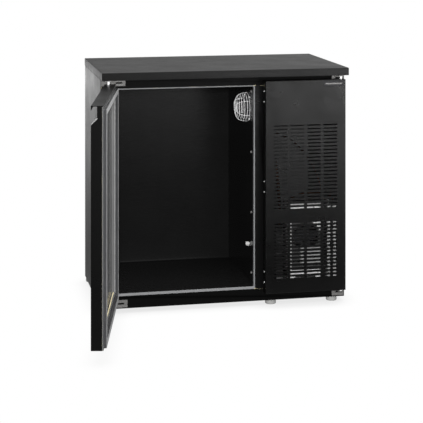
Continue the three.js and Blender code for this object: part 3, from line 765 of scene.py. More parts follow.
# The guard's wires take the pale plate copy: painted light.
@piece(WIRE_PAINTED_LIGHT, "fan_guard")
def wire_guard(bm, x0, y0, z0, x1, y1, z1):
    """A domed guard of welded wire: rings stepping inward, held by bent ribs and four eyes."""
    wire = 0.85
    base = x1 - 2.4
    reach = base - x0 - wire
    largest = (y1 - y0) / 2 - 2
    dome = [(0, 1), (0.2, 0.985), (0.42, 0.95), (0.64, 0.88), (0.82, 0.76), (0.94, 0.58), (1, 0.36)]
    for out, size in dome:
        sweep(bm, circle((base - reach * out, fan_y, fan_z), (1, 0, 0), largest * size, 56), wire, 8, True)
    for c, s in around(6, 0.5):
        spoke = [(base - reach * out - 1.2, fan_y + largest * size * c, fan_z + largest * size * s)
                 for out, size in dome]
        spoke.append((x0 + wire, fan_y + largest * 0.12 * c, fan_z + largest * 0.12 * s))
        sweep(bm, smooth_path(spoke, 3), wire, 8)
    lathe(bm, (x0, fan_y, fan_z), (1, 0, 0), [(0, 0), (7, 0), (8, 0.6), (8, 1.8), (0, 1.8)], 24)
    for c, s in around(4, 0.5):
        centre = Vector((base + 0.6, fan_y + (largest + 3.5) * c, fan_z + (largest + 3.5) * s))
        sweep(bm, circle(centre, (1, 0, 0), 3.6, 20), wire, 8, True)
        screw(bm, centre + Vector((0.6, 0, 0)), (-1, 0, 0), 3, 2.6)


@piece(BLACK, "cabin_fan_frame")
def cabin_fan_housing(bm, *_):
    """A square axial fan: flanged corners, a round barrel, a motor on four struts."""
    half, corner, barrel, bore, flare = (fan_y1 - fan_y0) / 2, 5, 57, 54, 56.5
    thick = 3.5
    steps = [(half, corner, fan_x0), (half, corner, fan_x0 + thick), (barrel, barrel, fan_x0 + thick),
             (barrel, barrel, fan_x1 - thick), (half, corner, fan_x1 - thick), (half, corner, fan_x1),
             (flare, flare, fan_x1), (bore, bore, fan_x1 - 4), (bore, bore, fan_x0 + 4),
             (flare, flare, fan_x0)]
    rect_loft(bm, YZ, [(square(fan_y, fan_z, reach), round_off, x) for reach, round_off, x in steps], 8,
              ring=True)
    hub = [(0, 0), (18, 0), (20, 1.5), (20, 10), (17, 11), (0, 11)]
    lathe(bm, (fan_x1 - 11, fan_y, fan_z), (1, 0, 0), hub, 36)
    strut = [(-4, -2), (-4, 2), (-0.3, 3), (-0.3, -3)]
    for k in range(4):
        turn = Matrix.Rotation(math.tau * (k + 0.5) / 4, 3, "X")
        loft(bm, [[Vector((fan_x1, fan_y, fan_z)) + turn @ Vector((x, distance, z)) for x, z in strut]
                  for distance in (17, 55)])


def rotor(name, node, joint, count, pitch):
    """A hub with a domed nose and swept, twisted blades."""
    axis = Vector(joints[joint]["axis"])
    low, high = span(node)[:3], span(node)[3:]
    along = 0 if abs(axis.x) > 0.5 else 1
    depth = high[along] - low[along]
    middle = joint_place(joint)
    middle[along] = (high[along] + low[along]) / 2
    tip = (high[2] - low[2]) / 2
    hub = tip * 0.37
    turn = facing(axis)

    @piece(BLACK, node, name)
    def build(bm, *_):
        nose = [(0, -1), (0.7, -1), (0.93, -0.8), (1, -0.45), (1, 0.9), (0.96, 1), (0, 1)]
        lathe(bm, middle, axis, [(hub * r, depth / 2 * h) for r, h in nose], 40)
        for blade in range(count):
            start = math.tau * blade / count
            rows = []
            for r in range(7):
                t = r / 6
                radius = hub * 0.97 + (tip * 0.985 - hub * 0.97) * t
                angle = math.radians(pitch[0] + (pitch[1] - pitch[0]) * t)
                chord = min(math.tau * radius / count * 0.82, depth * 0.86 / math.sin(angle))
                sweep_back = 0.28 * t * t
                upper, lower = [], []
                for c in range(7):
                    u = c / 6 - 0.5
                    round_tip = math.sqrt(max(1 - (2 * u) ** 2 * 0.35 * t, 0.1))
                    theta = start + sweep_back + u * chord * math.cos(angle) / radius
                    height = u * chord * math.sin(angle) + 0.06 * chord * (1 - 4 * u * u)
                    thick = 0.5 * (1.25 - abs(2 * u) ** 3) * (1.3 - 0.5 * t)
                    reach = hub * 0.97 + (radius - hub * 0.97) * round_tip
                    place = [reach * math.cos(theta), reach * math.sin(theta)]
                    upper.append(middle + turn @ Vector((*place, height + thick)))
                    lower.append(middle + turn @ Vector((*place, height - thick)))
                rows.append(upper + lower[::-1])
            loft(bm, rows)


rotor("cabin_fan_blades", "cabin_fan_rotor", "cabin_fan_spin", 7, (38, 26))
rotor("bay_fan_blades", "bay_fan_rotor", "bay_fan_spin", 5, (34, 24))


@piece(PALE, "thermostat_knob")
def thermostat_dial(bm, x0, y0, z0, x1, y1, z1):
    """Six soft lobes, a flange against the cover, a pointer ridge and a shaft."""
    outer, y, z = (z1 - z0) / 2, knob_joint.y, knob_joint.z

    def lobed(scale, ahead, depth=0.13):
        loop = []
        for k, (c, s) in enumerate(around(72)):
            radius = outer * scale * (1 - depth * (0.5 - 0.5 * math.cos(6 * math.tau * k / 72)))
            loop.append(YZ(y + radius * c, z + radius * s, x0 + ahead))
        return loop

    loft(bm, [lobed(0.62, 0.9, 0.02), lobed(0.66, 0.2, 0.03), lobed(0.86, 0, 0.1), lobed(0.95, 0.8),
              lobed(1, 2.4), lobed(1, 10), lobed(0.99, 11.5, 0.0)])
    lathe(bm, (x0 + 10, y, z), (1, 0, 0), [(0, 0), (3, 0), (3, x1 - x0 - 10), (0, x1 - x0 - 10)], 20)
    slab(bm, YZ, (y - 0.7, z, y + 0.7, z + outer * 0.86), x0 - 0.5, x0 + 1.5, 0.4, 0.2)


# ---------------------------------------------------------------- hinges
def bracket(node, pin, upper, leaf_base=0.0):
    """A folded bracket: a slotted plate with its screws, a rounded leaf, and a bright pin."""
    x0, y0, z0, x1, y1, z1 = span(node)
    plate_y = y1 - 2.5
    plate_low, plate_high = (z1 - 26, z1) if upper else (z0, z0 + 28)
    leaf = z1 - 3.2 if upper else leaf_base - 8
    slot_low = x0 + (x1 - x0) * (0.52 if x1 - x0 > 60 else 0.14)
    slot_high = x1 - 5
    middle = plate_low + (12 if upper else 14)

    # The plates take the darker zinc copy: painted shade.
    @piece(ZINC_PAINTED_SHADE, node, node + "_steel")
    def build_plate(bm, *_):
        half, reach = 3.2, 13
        us = [x0, slot_low - 2, slot_high + 2, x1]
        vs = [plate_low, middle - half - 2, middle + half + 2, plate_high]
        slot = (slot_low, middle - half, slot_high, middle + half)
        holed_sheet(bm, XZ, us, vs, {(1, 1): (slot, half)}, plate_y, y1, 6)
        rim = [(0, plate_y), (0, plate_y - 1.2), (2, plate_y - 1.2), (2, plate_y)]
        band(bm, (x0, plate_low, x1, plate_high), 3, rim, 0.5, steps=5)
        rect_loft(bm, XY, [((pin.x - reach + e, pin.y - 10 + e, pin.x + reach - e, y1 - 0.2), 9, leaf + z)
                           for e, z in ((0.6, 0), (0, 0.5), (0, 2.5), (0.6, 3))], 6)
        for x in (slot_low + 4, slot_high - 4):
            screw(bm, (x, plate_y + 0.6, middle), (0, -1, 0), 4.6, 2.8)

    # The pin takes the pale plate copy: painted light.
    @piece(WIRE_PAINTED_LIGHT, node, node + "_pin", hides=False)
    def build_pin(bm, *_):
        start = leaf if upper else leaf + 3
        length = abs((z0 if upper else z1) - start)
        lathe(bm, (pin.x, pin.y, start), (0, 0, -1 if upper else 1),
              [(0, -3.3), (5.5, -3.3), (6, -2.9), (6, 2), (5.4, 2.6), (4, 2.8), (4, length - 1.2),
               (3, length), (0, length)], 28)


hatch_pin = joint_place("hatch_hinge")
bracket("hinge_bracket_top_left", door_pin, True)
bracket("hinge_bracket_bottom_left", door_pin, False, span("door_skin")[2])
bracket("hinge_bracket_top_right", hatch_pin, True)
bracket("hinge_bracket_bottom_right", hatch_pin, False, span("hatch_frame")[2])


# ---------------------------------------------------------------- door, drawn shut
dx0, dy0, _, dx1, dy1, dz1 = span("door_grip")
WALL = 2.2
channel_y, channel_z = dy0 + 21, dz1 - 40
face_top = dz1 - 63
liner_y = dy1 - 4


# The pull takes the darker, duller copy of the coat: painted shade.
@piece(DOOR_PAINTED_SHADE, "door_grip")
def door_pull(bm, *_):
    """The pull: a top plate with a lip, the channel behind it, and the slope out to the face."""
    outline = [(dy0, dz1 - 19, 0.7), (dy0, dz1, 1.4), (dy1, dz1, 0.8),
               (dy1, dz1 - WALL, 0.5), (channel_y + WALL, dz1 - WALL, 0.8),
               (channel_y + WALL, channel_z - 0.6, 0.6), (dy0 + 1.1, face_top + 0.3, 0.2),
               (dy0, face_top + 0.3, 0.2), (dy0, face_top + WALL, 0.8),
               (channel_y, channel_z + 0.3, 0.8), (channel_y, dz1 - WALL, 1), (dy0 + 4, dz1 - WALL, 1.5)]
    beam(bm, YZ, filleted(outline, 0.5, 4), dx0, dx1)


@piece(BEAD_PAINTED_HIGHLIGHT, "door_grip", hides=False)
def pull_edge_painted_highlight(bm, *_):
    """The bare edge of the slope at the free end, made bright as a painted highlight of the light the slope
    catches.
    """
    outline = [(dy0 + 0.2, face_top - 2), (dy0 + 0.2, face_top + WALL),
               (channel_y, channel_z + 0.3), (channel_y + WALL, channel_z - 2.5)]
    beam(bm, YZ, filleted(outline, 0.3, 3), dx1 - 0.2, dx1 + 0.4)


@piece(HATCH_PAINTED_LIGHT, "door_skin")
def door_sheet(bm, x0, y0, z0, x1, back, z1):
    """The front sheet with rolled ends, the base fold, and end plates up beside the channel."""
    outline = [(dx0, back), (dx0, dy0, 2.2), (dx1, dy0, 2.2), (dx1, back), (dx1 - SHEET, back),
               (dx1 - SHEET, dy0 + SHEET, 1), (dx0 + SHEET, dy0 + SHEET, 1), (dx0 + SHEET, back)]
    outline = filleted(outline, 0.2, 4)
    loft(bm, [[XY(a, b, z) for a, b in outline] for z in (z0 + 0.6, face_top - 0.2)])
    slab(bm, XY, (dx0 + 0.2, dy0 + 0.2, dx1 - 0.2, back), z0, z0 + SHEET, 1.6, 0.4)
    end = filleted([(back, face_top - 0.3, 0.1), (back, dz1 - WALL - 0.3, 0.3),
                    (channel_y + WALL + 0.3, dz1 - WALL - 0.3, 0.3),
                    (channel_y + WALL + 0.3, channel_z - 1, 1), (dy0 + 1.2, face_top - 0.3, 0.1)], 0.2, 3)
    beam(bm, YZ, end, dx0, dx0 + SHEET)
    beam(bm, YZ, end, dx1 - SHEET, dx1)


keep("door_foam", FOAM)


@piece(LINER, "door_liner")
def door_liner_pan(bm, x0, y0, z0, x1, y1, z1):
    """The inner sheet: a flat rim with a bead, round a shallow pressed pan."""
    side, pan = 47, liner_y - 8
    profile = [(side + 4, pan - 1.5), (side - 1.5, pan - 1.5), (side - 1.5, liner_y), (2.6, liner_y, 0.3),
               (2.6, y1, 0.4), (side - 4, y1, 0.6), (side, pan + 1.5, 1.5), (side + 1.5, pan, 1.2),
               (side + 12, pan)]
    profile_loft(bm, XZ, (x0, z0, x1, z1), 2, filleted(profile, 0.3, 4, closed=False), 6)


@piece(EDGING, "door_liner")
def door_liner_edging(bm, x0, y0, z0, x1, y1, z1):
    """The pale edging that clips round the inner sheet."""
    clip = [(0, liner_y + 0.1), (0, y1 + 0.2, 0.8), (2.5, y1 + 0.2, 0.3), (2.5, liner_y + 0.1)]
    band(bm, (x0, z0, x1, z1), 1.5, clip, 0.2)


@piece(BEAD_PAINTED_HIGHLIGHT, "door_liner")
def door_liner_bead(bm, x0, y0, z0, x1, y1, z1):
    """The rolled bead round the pan, in a paler plate as a painted highlight."""
    roll = [(42, y1 - 0.5), (42, y1 + 1.4, 1), (46.6, y1 + 1.4, 1.2), (47.4, y1 - 3, 0.4),
            (46.4, y1 - 3, 0.3)]
    band(bm, (x0, z0, x1, z1), 2, roll, 0.4, steps=6)


@piece(GASKET, "door_gasket", angle=60)
def door_seal(bm, x0, y0, z0, x1, y1, z1):
    """A pleated magnetic seal: a base that clips on, a bellows, and a soft bulb."""
    rise = y1 - y0
    profile = [(0.4, 0.0), (0.0, 0.08), (0.4, 0.17), (4.4, 0.22), (5.6, 0.30), (4.4, 0.38), (1.2, 0.44),
               (1.0, 0.56), (4.2, 0.61), (4.0, 0.68), (0.8, 0.82), (1.4, 0.95), (3.2, 1.0), (9.0, 0.985),
               (10.0, 0.95), (11.0, 0.985), (16.6, 1.0), (18.4, 0.95), (19.2, 0.82), (16.0, 0.68),
               (15.8, 0.61), (19.0, 0.56), (18.8, 0.44), (15.6, 0.38), (14.4, 0.30), (15.6, 0.22),
               (19.6, 0.17), (20.0, 0.08), (19.6, 0.0)]
    band(bm, (x0, z0, x1, z1), 1.5, [(i, y0 + rise * d) for i, d in profile], 0.4, 2, 2)


@piece(BLACK, "door_gasket")
def door_seal_painted_shadow(bm, x0, y0, z0, x1, y1, z1):
    """Black rings laid in the seal's two pleats and at its foot: painted shadow lines where the seal falls
    in shade.
    """
    rise = y1 - y0
    for low, high in ((0.02, 0.1), (0.21, 0.4), (0.58, 0.76)):
        profile = [(i, y0 + rise * d) for i, d in ((-0.3, low), (-0.3, high), (20.3, high), (20.3, low))]
        band(bm, (x0, z0, x1, z1), 1.5, profile, 0, steps=2)


@piece(BLACK, "door_bush_top", bevel=0.5)
def door_bush_upper(bm, x0, y0, z0, x1, y1, z1):
    block, half = (x0, y0, x1, y1), 4.4
    bore = square(door_pin.x, door_pin.y, half)
    rect_loft(bm, XY, [(block, 2, z0), (block, 2, z1), (bore, half, z1), (bore, half, z0)], 6, ring=True)


@piece(BLACK, "door_bush_bottom")
def door_bush_lower(bm, x0, y0, z0, x1, y1, z1):
    sleeve = [(4.4, 17), (4.4, 0.5), (4.9, 0), (7, 0), (7.6, 0.6), (7.6, z1 - z0), (0, z1 - z0)]
    lathe(bm, (door_pin.x, door_pin.y, z0), (0, 0, 1), sleeve, 32)


# ---------------------------------------------------------------- louvred hatch
hx0, hy0, hz0, hx1, _, hz1 = span("louvre_panel")
hy1 = span("hatch_frame")[4]


def slot_places(axis):
    """Slot edges along an axis, in pairs, read from the grid lines of the frame's own panel."""
    lines = sorted({round(v.co[axis] / MM, 2) for v in frame["nodes"]["louvre_panel"].data.vertices})
    return list(zip(lines[1:-1:2], lines[2:-1:2]))


@piece(HATCH_PAINTED_LIGHT, "louvre_panel", bevel=0.35)
def louvre_sheet(bm, *_):
    """The slotted sheet: each slot sits in a cell of its own."""
    columns, rows = slot_places(0), slot_places(2)
    edge, half = 2.6, 5.8
    between = [(left[1] + right[0]) / 2 for left, right in zip(columns, columns[1:])]
    us = [hx0 + edge, columns[0][0] - 5, *between, columns[-1][1] + 5, hx1 - edge]
    vs, holes = [hz0 + edge], {}
    for index, (low, high) in enumerate(rows):
        middle = (low + high) / 2
        if index and vs[-1] > middle - half - 3:
            vs[-1] = (vs[-1] + middle - half) / 2
        else:
            vs.append(middle - half)
        for i, (left, right) in enumerate(columns):
            holes[(i + 1, len(vs) - 1)] = ((left, low, right, high), 2.4)
        vs.append(middle + half)
    vs.append(hz1 - edge)
    holed_sheet(bm, XZ, us, vs, holes, hy0, hy0 + SHEET, 4)


@piece(HATCH_PAINTED_LIGHT, "hatch_frame")
def hatch_returns(bm, *_):
    """Rolled edges, side returns and a folded inner flange."""
    fold = [(2.6, hy0), (0, hy0, 2.4), (0, hy1), (13, hy1), (13, hy1 - SHEET), (SHEET, hy1 - SHEET),
            (SHEET, hy0 + SHEET, 1.2), (2.6, hy0 + SHEET)]
    band(bm, (hx0, hz0, hx1, hz1), 1.2, fold, 0.3, 4, 3)


@piece(WIRE_PAINTED_LIGHT, "hatch_frame", hides=False)
def hatch_rivets(bm, *_):
    """Three pairs of pop rivets in the hatch's free edge, at its catches."""
    rivet = [(0, -0.3), (2.6, -0.3), (2.6, 0.6), (2.1, 1.4), (1.2, 1.8), (0, 1.7)]
    for catch in (-346.5, 0, 346.5):
        for step in (-20, 20):
            lathe(bm, (hx0, hy0 + 24, (hz0 + hz1) / 2 + catch + step), (-1, 0, 0), rivet, 20)


@piece(BLACK, "hatch_plate")
def plate_back(bm, x0, y0, z0, x1, y1, z1):
    """A blank dark plate with a raised rim."""
    rim = filleted([(0.5, 0.0), (0.5, 1.0), (1.4, 1.0), (1.4, 0.0)], 0.2, 2)
    rim = [(a, y0 + (1 - b) * 0.8) for a, b in rim]
    profile_loft(bm, XZ, (x0, z0, x1, z1), 2, rim, 4, ring=True)
    slab(bm, XZ, (x0, z0, x1, z1), y0 + 0.5, y1, 2, 0.2)


@piece(ZINC_PAINTED_SHADE, "hatch_plate", hides=False)
def plate_bar(bm, x0, y0, z0, x1, y1, z1):
    """One plain raised bar along the middle of the plate."""
    middle = (z0 + z1) / 2
    slab(bm, XZ, (x0 + 6, middle - 2.6, x1 - 6, middle + 2.6), y0, y0 + 0.8, 1.2, 0.25)


# ---------------------------------------------------------------- condensing unit
@piece(GALVANISED, "condensing_unit_base", bevel=0.3)
def unit_tray(bm, x0, y0, z0, x1, y1, z1):
    """A shallow pressed tray with turned-down ends."""
    outline = filleted([(y0, z0), (y0, z1, 2.5), (y1, z1, 2.5), (y1, z0), (y1 - 2, z0),
                        (y1 - 2, z1 - 2, 1), (y0 + 2, z1 - 2, 1), (y0 + 2, z0)], 0.3, 4)
    beam(bm, YZ, outline, x0, x1)


hub = joint_place("bay_fan_spin")
SHROUD_LIP, SHROUD_FOOT = 14, 70


@piece(ENAMEL, "condenser_shroud")
def shroud_face_painted_shade(bm, x0, y0, z0, x1, y1, z1):
    """The fan plate with its formed ring, in black enamel as painted shade for a face that lies in shade.
    """
    bore, cell = 53, 57
    us = [x0 + SHEET, hub.x - cell, hub.x + cell, x1 - SHEET]
    vs = [z0 + SHROUD_FOOT + SHEET, hub.z - cell, hub.z + cell, z1 - SHEET]
    face = y0 + SHROUD_LIP
    opening = {(1, 1): (square(hub.x, hub.z, bore), bore)}
    holed_sheet(bm, XZ, us, vs, opening, face, face + SHEET, 10)
    ring = filleted([(bore + 3, face), (bore - 1.5, face - 5, 2), (bore - 2.6, face - 5, 0.5),
                     (bore - 2, face + 6, 0.5), (bore - 0.8, face + 6, 0.4)], 0.4, 3)
    loft(bm, [[XZ(hub.x + r * c, hub.z + r * s, y) for c, s in around(48)] for r, y in ring], ring=True)


@piece(GALVANISED, "condenser_shroud")
def shroud_edges(bm, x0, y0, z0, x1, y1, z1):
    """The bright folded lips, left flange, cheeks and legs round the fan plate, and a bright corner gusset
    that paints a pool of light on the plate's upper right.
    """
    face = y0 + SHROUD_LIP
    low = z0 + SHROUD_FOOT
    for z, lip in ((z1 - SHEET, -18), (low, 18)):
        slab(bm, XY, (x0, y0, x1, face + SHEET), z, z + SHEET, 1, 0.3)
        slab(bm, XZ, (x0, min(z, z + lip), x1, max(z, z + lip) + SHEET), y0, y0 + SHEET, 1.5, 0.3)
    for x in (x0, x1 - SHEET):
        slab(bm, YZ, (face, low, y1, z1), x, x + SHEET, 3, 0.3)
    for x in (x0, x1 - 22):
        slab(bm, XZ, (x, z0, x + 22, low + 1), face, face + SHEET, 1, 0.3)
    slab(bm, XZ, (x0, low, x0 + 6, z1), face - SHEET, face, 1.5, 0.3)
    # Painted light: a bright gusset where the plate's upper right corner is lit.
    turns = [math.radians(angle) for angle in range(12, 67, 6)]
    arc = [(hub.x + 60 * math.cos(turn), hub.z + 60 * math.sin(turn)) for turn in turns]
    beam(bm, XZ, arc + [(arc[-1][0], z1 - 19), (x1, z1 - 19), (x1, arc[0][1])], face - SHEET, face)


@piece(BLACK, "bay_fan_motor")
def bay_motor(bm, x0, y0, z0, x1, y1, z1):
    radius, length = (z1 - z0) / 2, y1 - y0
    can = [(0, 0), (0.55, 0), (0.6, 2), (0.93, 3), (1, 5), (1, length - 4), (0.9, length - 1),
           (0.5, length), (0, length)]
    lathe(bm, (hub.x, y0, hub.z), (0, 1, 0), [(radius * r, h) for r, h in can], 36)
    slab(bm, XZ, (x0, hub.z - 8, x1, hub.z + 8), y0 + 11, y0 + 14, 3, 0.5)


BEND_REACH = 24.5


@piece(FINS, "condenser_coil")
def condenser_fins(bm, x0, y0, z0, x1, y1, z1):
    """A finned block with its left end plate, and return bends on its right."""
    core_x1 = x1 - BEND_REACH
    low, high = (x0 + 1, y0 + 1, z1 - 269), (core_x1 - 1, y1 - 1, z1 - 3)
    fin_block(bm, low, high, "x", 3.1, 0.4, 3.6, 16)
    slab(bm, YZ, (y0, z0, y1, z1), x0, x0 + 2, 1.5, 0.3)
    middle = (y0 + y1) / 2
    for i in range(8):
        z = low[2] + 28 + 30 * i
        turns = [math.pi * k / 8 for k in range(9)]
        bend = [(core_x1 + 10 + 10 * math.sin(turn), middle, z - 10 * math.cos(turn)) for turn in turns]
        sweep(bm, [(core_x1, middle, z - 10), *bend, (core_x1, middle, z + 10)], 3.6, 12)


@piece(GALVANISED, "condenser_coil")
def condenser_ends(bm, x0, y0, z0, x1, y1, z1):
    """The right end plate, and the pair of uprights that screen the bends."""
    core_x1 = x1 - BEND_REACH
    slab(bm, YZ, (y0, z0, y1, z1), core_x1 - 1, core_x1 + 1, 1.5, 0.3)
    for x in (core_x1 - 6, core_x1 + 18):
        slab(bm, XZ, (x, z0, x + 12, z1 - 20), y0 - 1, y0 + 0.8, 1.5, 0.3)
    slab(bm, XZ, (core_x1, z0, core_x1 + 30, z0 + 5), y0 - 1, y0 + 0.8, 1.5, 0.3)


@piece(ENAMEL, "compressor")
def compressor_can(bm, x0, y0, z0, x1, y1, z1):
    """A hermetic can: two drawn halves joined by a welded belt, on a sprung foot plate."""
    x, y = (x0 + x1) / 2, (y0 + y1) / 2
    base = z0 + 6.8
    shell = [(0, 0), (58, 0), (70, 6), (75.5, 20), (78, 40), (78, 85), (78.8, 87), (81, 88), (81, 94.5),
             (78.8, 95.5), (78, 97), (77.5, 125), (75, 145), (68, 162), (56, 174), (38, 182), (20, 185),
             (0, 186)]
    lathe(bm, (x, y, base), (0, 0, 1), [(r, h * (z1 - base) / 186) for r, h in shell], 56)
    half = min((x1 - x0) / 2, 76)
    slab(bm, XY, square(x, y, half), z0 + 3.8, z0 + 7.8, 14, 0.8, 6)
    grommet = [(0, 0), (9, 0), (9, 3), (7, 4), (7, 8), (9, 9), (9, 11), (4, 12), (4, 16), (0, 16)]
    for i in (-64, 64):
        for j in (-64, 64):
            lathe(bm, (x + i, y + j, z0), (0, 0, 1), grommet, 24)


def box_piece(node, name, material, corner, edge, lid=0.0):
    """A closed box with two screws on its face, and a lid's rim if lid says how deep."""
    @piece(material, node, name)
    def build(bm, x0, y0, z0, x1, y1, z1):
        profile = [(corner + 2, y0), (0, y0, edge), (0, y1, edge), (corner + 2, y1)]
        profile = filleted(profile, edge, 4, closed=False)
        profile_loft(bm, XZ, (x0, z0, x1, z1), corner, profile, 4)
        if lid:
            slab(bm, XZ, inset((x0, z0, x1, z1), -0.6), y0 + lid, y0 + lid + 1.2, corner, 0.3)
        for z in (z0 + 8, z1 - 8):
            screw(bm, ((x0 + x1) / 2, y0, z), (0, -1, 0), 3, 1.4)


# The junction box takes the darker copy of the galvanised sheet: painted shade.
box_piece("wiring_box", "junction_box", GALVANISED_PAINTED_SHADE, 1.5, 0.8, 5)
box_piece("compressor_terminal_cover", "terminal_cover", BLACK, 4, 2)


def pipe(bm, points, radius):
    sweep(bm, smooth_path(points, 8), radius, 14)


can = span("compressor")
can_x, can_y = (can[0] + can[3]) / 2, (can[1] + can[4]) / 2
coil = span("condenser_coil")
coil_y = (coil[1] + coil[4]) / 2


@piece(COPPER, "suction_pipe")
def suction_tube(bm, x0, y0, z0, x1, y1, z1):
    end_y, end_z = y1 - 6, z1 - 6
    pipe(bm, [(can_x, can_y + 50, z0), (can_x, can_y + 50, 330), (can_x - 15, can_y + 90, 520),
              (can_x - 50, end_y, end_z), (can_x - 100, end_y, end_z), (x0, end_y, end_z)], 6)


@piece(COPPER, "discharge_pipe")
def discharge_tube(bm, x0, y0, z0, x1, y1, z1):
    pipe(bm, [(can_x, can_y - 50, z0), (can_x, can_y - 50, 330), (can_x + 60, can_y - 122, 386),
              (can_x + 144, can_y - 190, 388), (can_x + 150, coil_y, 372), (coil[3] - 22, coil_y, 372)], 4)


@piece(COPPER, "liquid_line")
def liquid_tube(bm, x0, y0, z0, x1, y1, z1):
    """The liquid line, with the drier it starts from."""
    drier_x, drier_y = can_x + 125, can_y - 130
    end_y, end_z = y1 - 3, z1 - 3
    pipe(bm, [(drier_x, drier_y, 258), (drier_x, drier_y, 420), (can_x + 70, can_y + 60, 560),
              (can_x - 30, end_y, end_z), (can_x - 100, end_y, end_z), (x0, end_y, end_z)], 3)
    drier = [(0, 0), (3.6, 0), (4, 8), (8, 12), (11, 18), (11, 102), (8, 108), (4, 112), (3.6, 120),
             (0, 120)]
    lathe(bm, (drier_x, drier_y, z0), (0, 0, 1), drier, 32)


@piece(BLACK, "power_inlet")
def mains_inlet(bm, x0, y0, z0, x1, y1, z1):
    """A flanged appliance inlet: a hooded recess with three blades."""
    flange = span("back_panel")[1] - 0.2
    steps = [(5, 2, y0), (5, 2, flange - 2), (0, 3, flange - 2), (0, 3, flange), (5, 2, flange),
             (5, 2, y1 - 0.3), (5.3, 2, y1), (8.6, 3, y1), (9.2, 3, y1 - 0.6), (9.2, 3, y0 + 3)]
    rect_loft(bm, XZ, [(inset((x0, z0, x1, z1), i), corner, y) for i, corner, y in steps], 4)
    for dx, dz in ((-5, -2), (5, -2), (0, 4)):
        x, z = (x0 + x1) / 2 + dx, (z0 + z1) / 2 + dz
        slab(bm, XZ, (x - 1, z - 2, x + 1, z + 2), y0 + 2, y1 - 4, 0.5, 0.3)


# ---------------------------------------------------------------- feet
def foot(node):
    """A moulded foot: a soft-edged disc that narrows to a threaded stem."""
    @piece(FOOT_PAINTED_SHADE, node, node + "_moulding")
    def build(bm, x0, y0, z0, x1, y1, z1):
        radius, disc = (x1 - x0) / 2, span("base_pan")[2] - z0
        profile = [(0, 0.6), (0.5, 0.6), (0.6, 0), (0.92, 0), (1, 1.6), (1, disc * 0.52),
                   (0.97, disc * 0.62), (0.78, disc * 0.93), (0.7, disc - 0.4)]
        profile = [(radius * r, h) for r, h in profile] + [(4.4, disc - 0.4)]
        z, step = disc + 0.4, 1.25
        while z < z1 - z0 - 1.5:
            profile += [(3.7, z), (4.4, z + step / 2)]
            z += step
        profile += [(3.2, z1 - z0), (0, z1 - z0)]
        lathe(bm, ((x0 + x1) / 2, (y0 + y1) / 2, z0), (0, 0, 1), profile, 40)


for node in sorted(frame["nodes"]):
    if node.startswith("foot_"):
        foot(node)


# ---------------------------------------------------------------- floor, world, lights, camera
centre = (cad_box[0] + cad_box[1]) / 2


def build_studio():
    """A sky for glossy rays only: brighter to the right, with a soft dip above the horizon."""
    world = bpy.data.worlds.new("studio")
    bpy.context.scene.world = world
    n = Nodes(world)
    n.tree.nodes.clear()
    axes = n.axes(n.add("TexCoord").outputs["Generated"])
    stops = [(0, 0.9), (0.16, 0.6), (0.3, 0.26), (0.55, 0.45), (0.75, 0.8), (1, 0.9)]
    sky = n.curve(n.ramp(axes["Z"], -0.2, 1.0), stops, "EASE")
    sideways = n.ramp(axes["X"], -0.05, 0.4, (0.2, 1.6))
    overhead = n.ramp(axes["X"], 0.1, 0.32, (0.96, 1.24))
    before = n.blend(1.0, sky, sideways, "MULTIPLY")
    behind = n.blend(1.0, sky, overhead, "MULTIPLY")
    glossy = n.blend(n.ramp(axes["Y"], -0.3, 0.3), before, behind)
    background = n.add("Background")
    n.feed(n.by_ray(grey(0.4), glossy, grey(1.0)), background.inputs["Color"])
    n.feed(background.outputs["Background"], n.add("OutputWorld").inputs["Surface"])


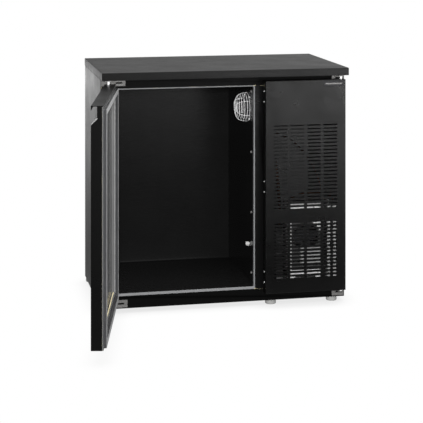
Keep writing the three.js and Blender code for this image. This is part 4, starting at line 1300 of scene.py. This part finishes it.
def build_floor():
    """A plain disc that glows rather than being lit: pale to the camera, with a painted contact shadow near
    the object; the glow that glossy rays meet brightens away from the object, and other rays meet a dim
    grey.
    """
    bm = bmesh.new()
    loft(bm, [[Vector((centre.x + r * c, centre.y + r * s, 0)) for c, s in around(96)]
              for r in (0.01, 1.5, 9.0)], caps=False)
    bm.faces.new(bm.verts[:96])
    mesh = bpy.data.meshes.new("studio_floor")
    bm.to_mesh(mesh)
    bm.free()
    floor = bpy.data.objects.new("studio_floor", mesh)
    bpy.context.scene.collection.objects.link(floor)
    material = bpy.data.materials.new("pale_floor")
    n = Nodes(material)
    n.tree.nodes.clear()
    # Painted contact shadow: the camera's white darkens where an occlusion node finds the object near.
    shade = n.add("AmbientOcclusion")
    shade.inputs["Distance"].default_value = 0.09
    painted_contact_shade = n.curve(shade.outputs["AO"], [(0, 0.78), (1, 1.0)], "EASE")
    place = n.add("NewGeometry").outputs["Position"]
    axes = n.axes(place)
    away = n.add("VectorMath", operation="DISTANCE")
    n.feed(place, away.inputs[0])
    away.inputs[1].default_value = (centre.x, centre.y, 0)
    reach = n.ramp(away.outputs["Value"], 0.0, 8.0)
    before = n.curve(reach, [(0, 0.01), (0.09, 0.012), (0.19, 0.035), (0.32, 0.13), (0.45, 0.45),
                             (0.6, 0.9), (0.78, 1.2), (0.88, 2.1), (1, 4.4)])
    before = n.blend(1.0, before, n.ramp(axes["X"], 0.2, 3.4, (0.05, 2.0)), "MULTIPLY")
    behind = n.curve(reach, [(0, 0.07), (0.09, 0.17), (0.19, 0.2), (0.32, 0.3), (0.45, 0.48),
                             (0.585, 0.72), (0.8, 0.8), (1, 1.8)])
    reflected = n.blend(n.ramp(axes["Y"], -0.9, 0.1), before, behind)
    glow = n.add("Emission")
    n.feed(n.by_ray(grey(0.2), reflected, painted_contact_shade), glow.inputs["Color"])
    n.feed(glow.outputs["Emission"], n.add("OutputMaterial").inputs["Surface"])
    floor.data.materials.append(material)


def softbox(name, place, size, power):
    """A square-on soft lamp, aimed at the object, that shows in no reflection."""
    light = bpy.data.lights.new(name, "AREA")
    light.shape = "RECTANGLE"
    light.size, light.size_y = size
    light.energy = power
    light.spread = math.radians(160)
    lamp = bpy.data.objects.new(name, light)
    lamp.location = place
    lamp.visible_glossy = False
    lamp.rotation_euler = (centre - Vector(place)).to_track_quat("-Z", "Y").to_euler()
    bpy.context.scene.collection.objects.link(lamp)


build_studio()
build_floor()
softbox("overhead", (centre.x - 0.2, centre.y - 0.6, 3.4), (2.6, 1.8), 60)
softbox("front_left", (-2.6, -3.2, 2.4), (1.4, 1.8), 16)
softbox("front_right", (3.2, -2.6, 1.9), (1.2, 1.8), 11)
softbox("beside_camera", (-0.6, -5.25, 1.6), (0.4, 0.4), 600)
softbox("rear_right", (3.0, 3.0, 2.0), (1.8, 1.4), 320)
softbox("rear_left", (-3.2, 2.4, 2.0), (1.4, 1.4), 120)

station = Vector((-0.6732, -5.3480, 1.4995))
lens = bpy.data.cameras.new("camera")
lens.sensor_width = 36
lens.lens = 120.59
camera = bpy.data.objects.new("camera", lens)
camera.location = station
camera.rotation_euler = (math.radians(90), 0, math.radians(-11.944))
bpy.context.scene.collection.objects.link(camera)
bpy.context.scene.camera = camera


def shift_at_station(channel, amount):
    """The lens shift keeps uprights upright from the station, and is off from anywhere else."""
    driver = lens.driver_add(channel).driver
    driver.type = "SCRIPTED"
    variable = driver.variables.new()
    variable.name = "y"
    variable.type = "TRANSFORMS"
    target = variable.targets[0]
    target.id = camera
    target.transform_type = "LOC_Y"
    target.transform_space = "WORLD_SPACE"
    driver.expression = f"{amount} if abs(y - {station.y:.4f}) < 0.0005 else 0.0"


shift_at_station("shift_x", -0.02874)
shift_at_station("shift_y", -0.69650)
bpy.context.scene.view_settings.view_transform = "Standard"
bpy.context.scene.view_settings.look = "None"
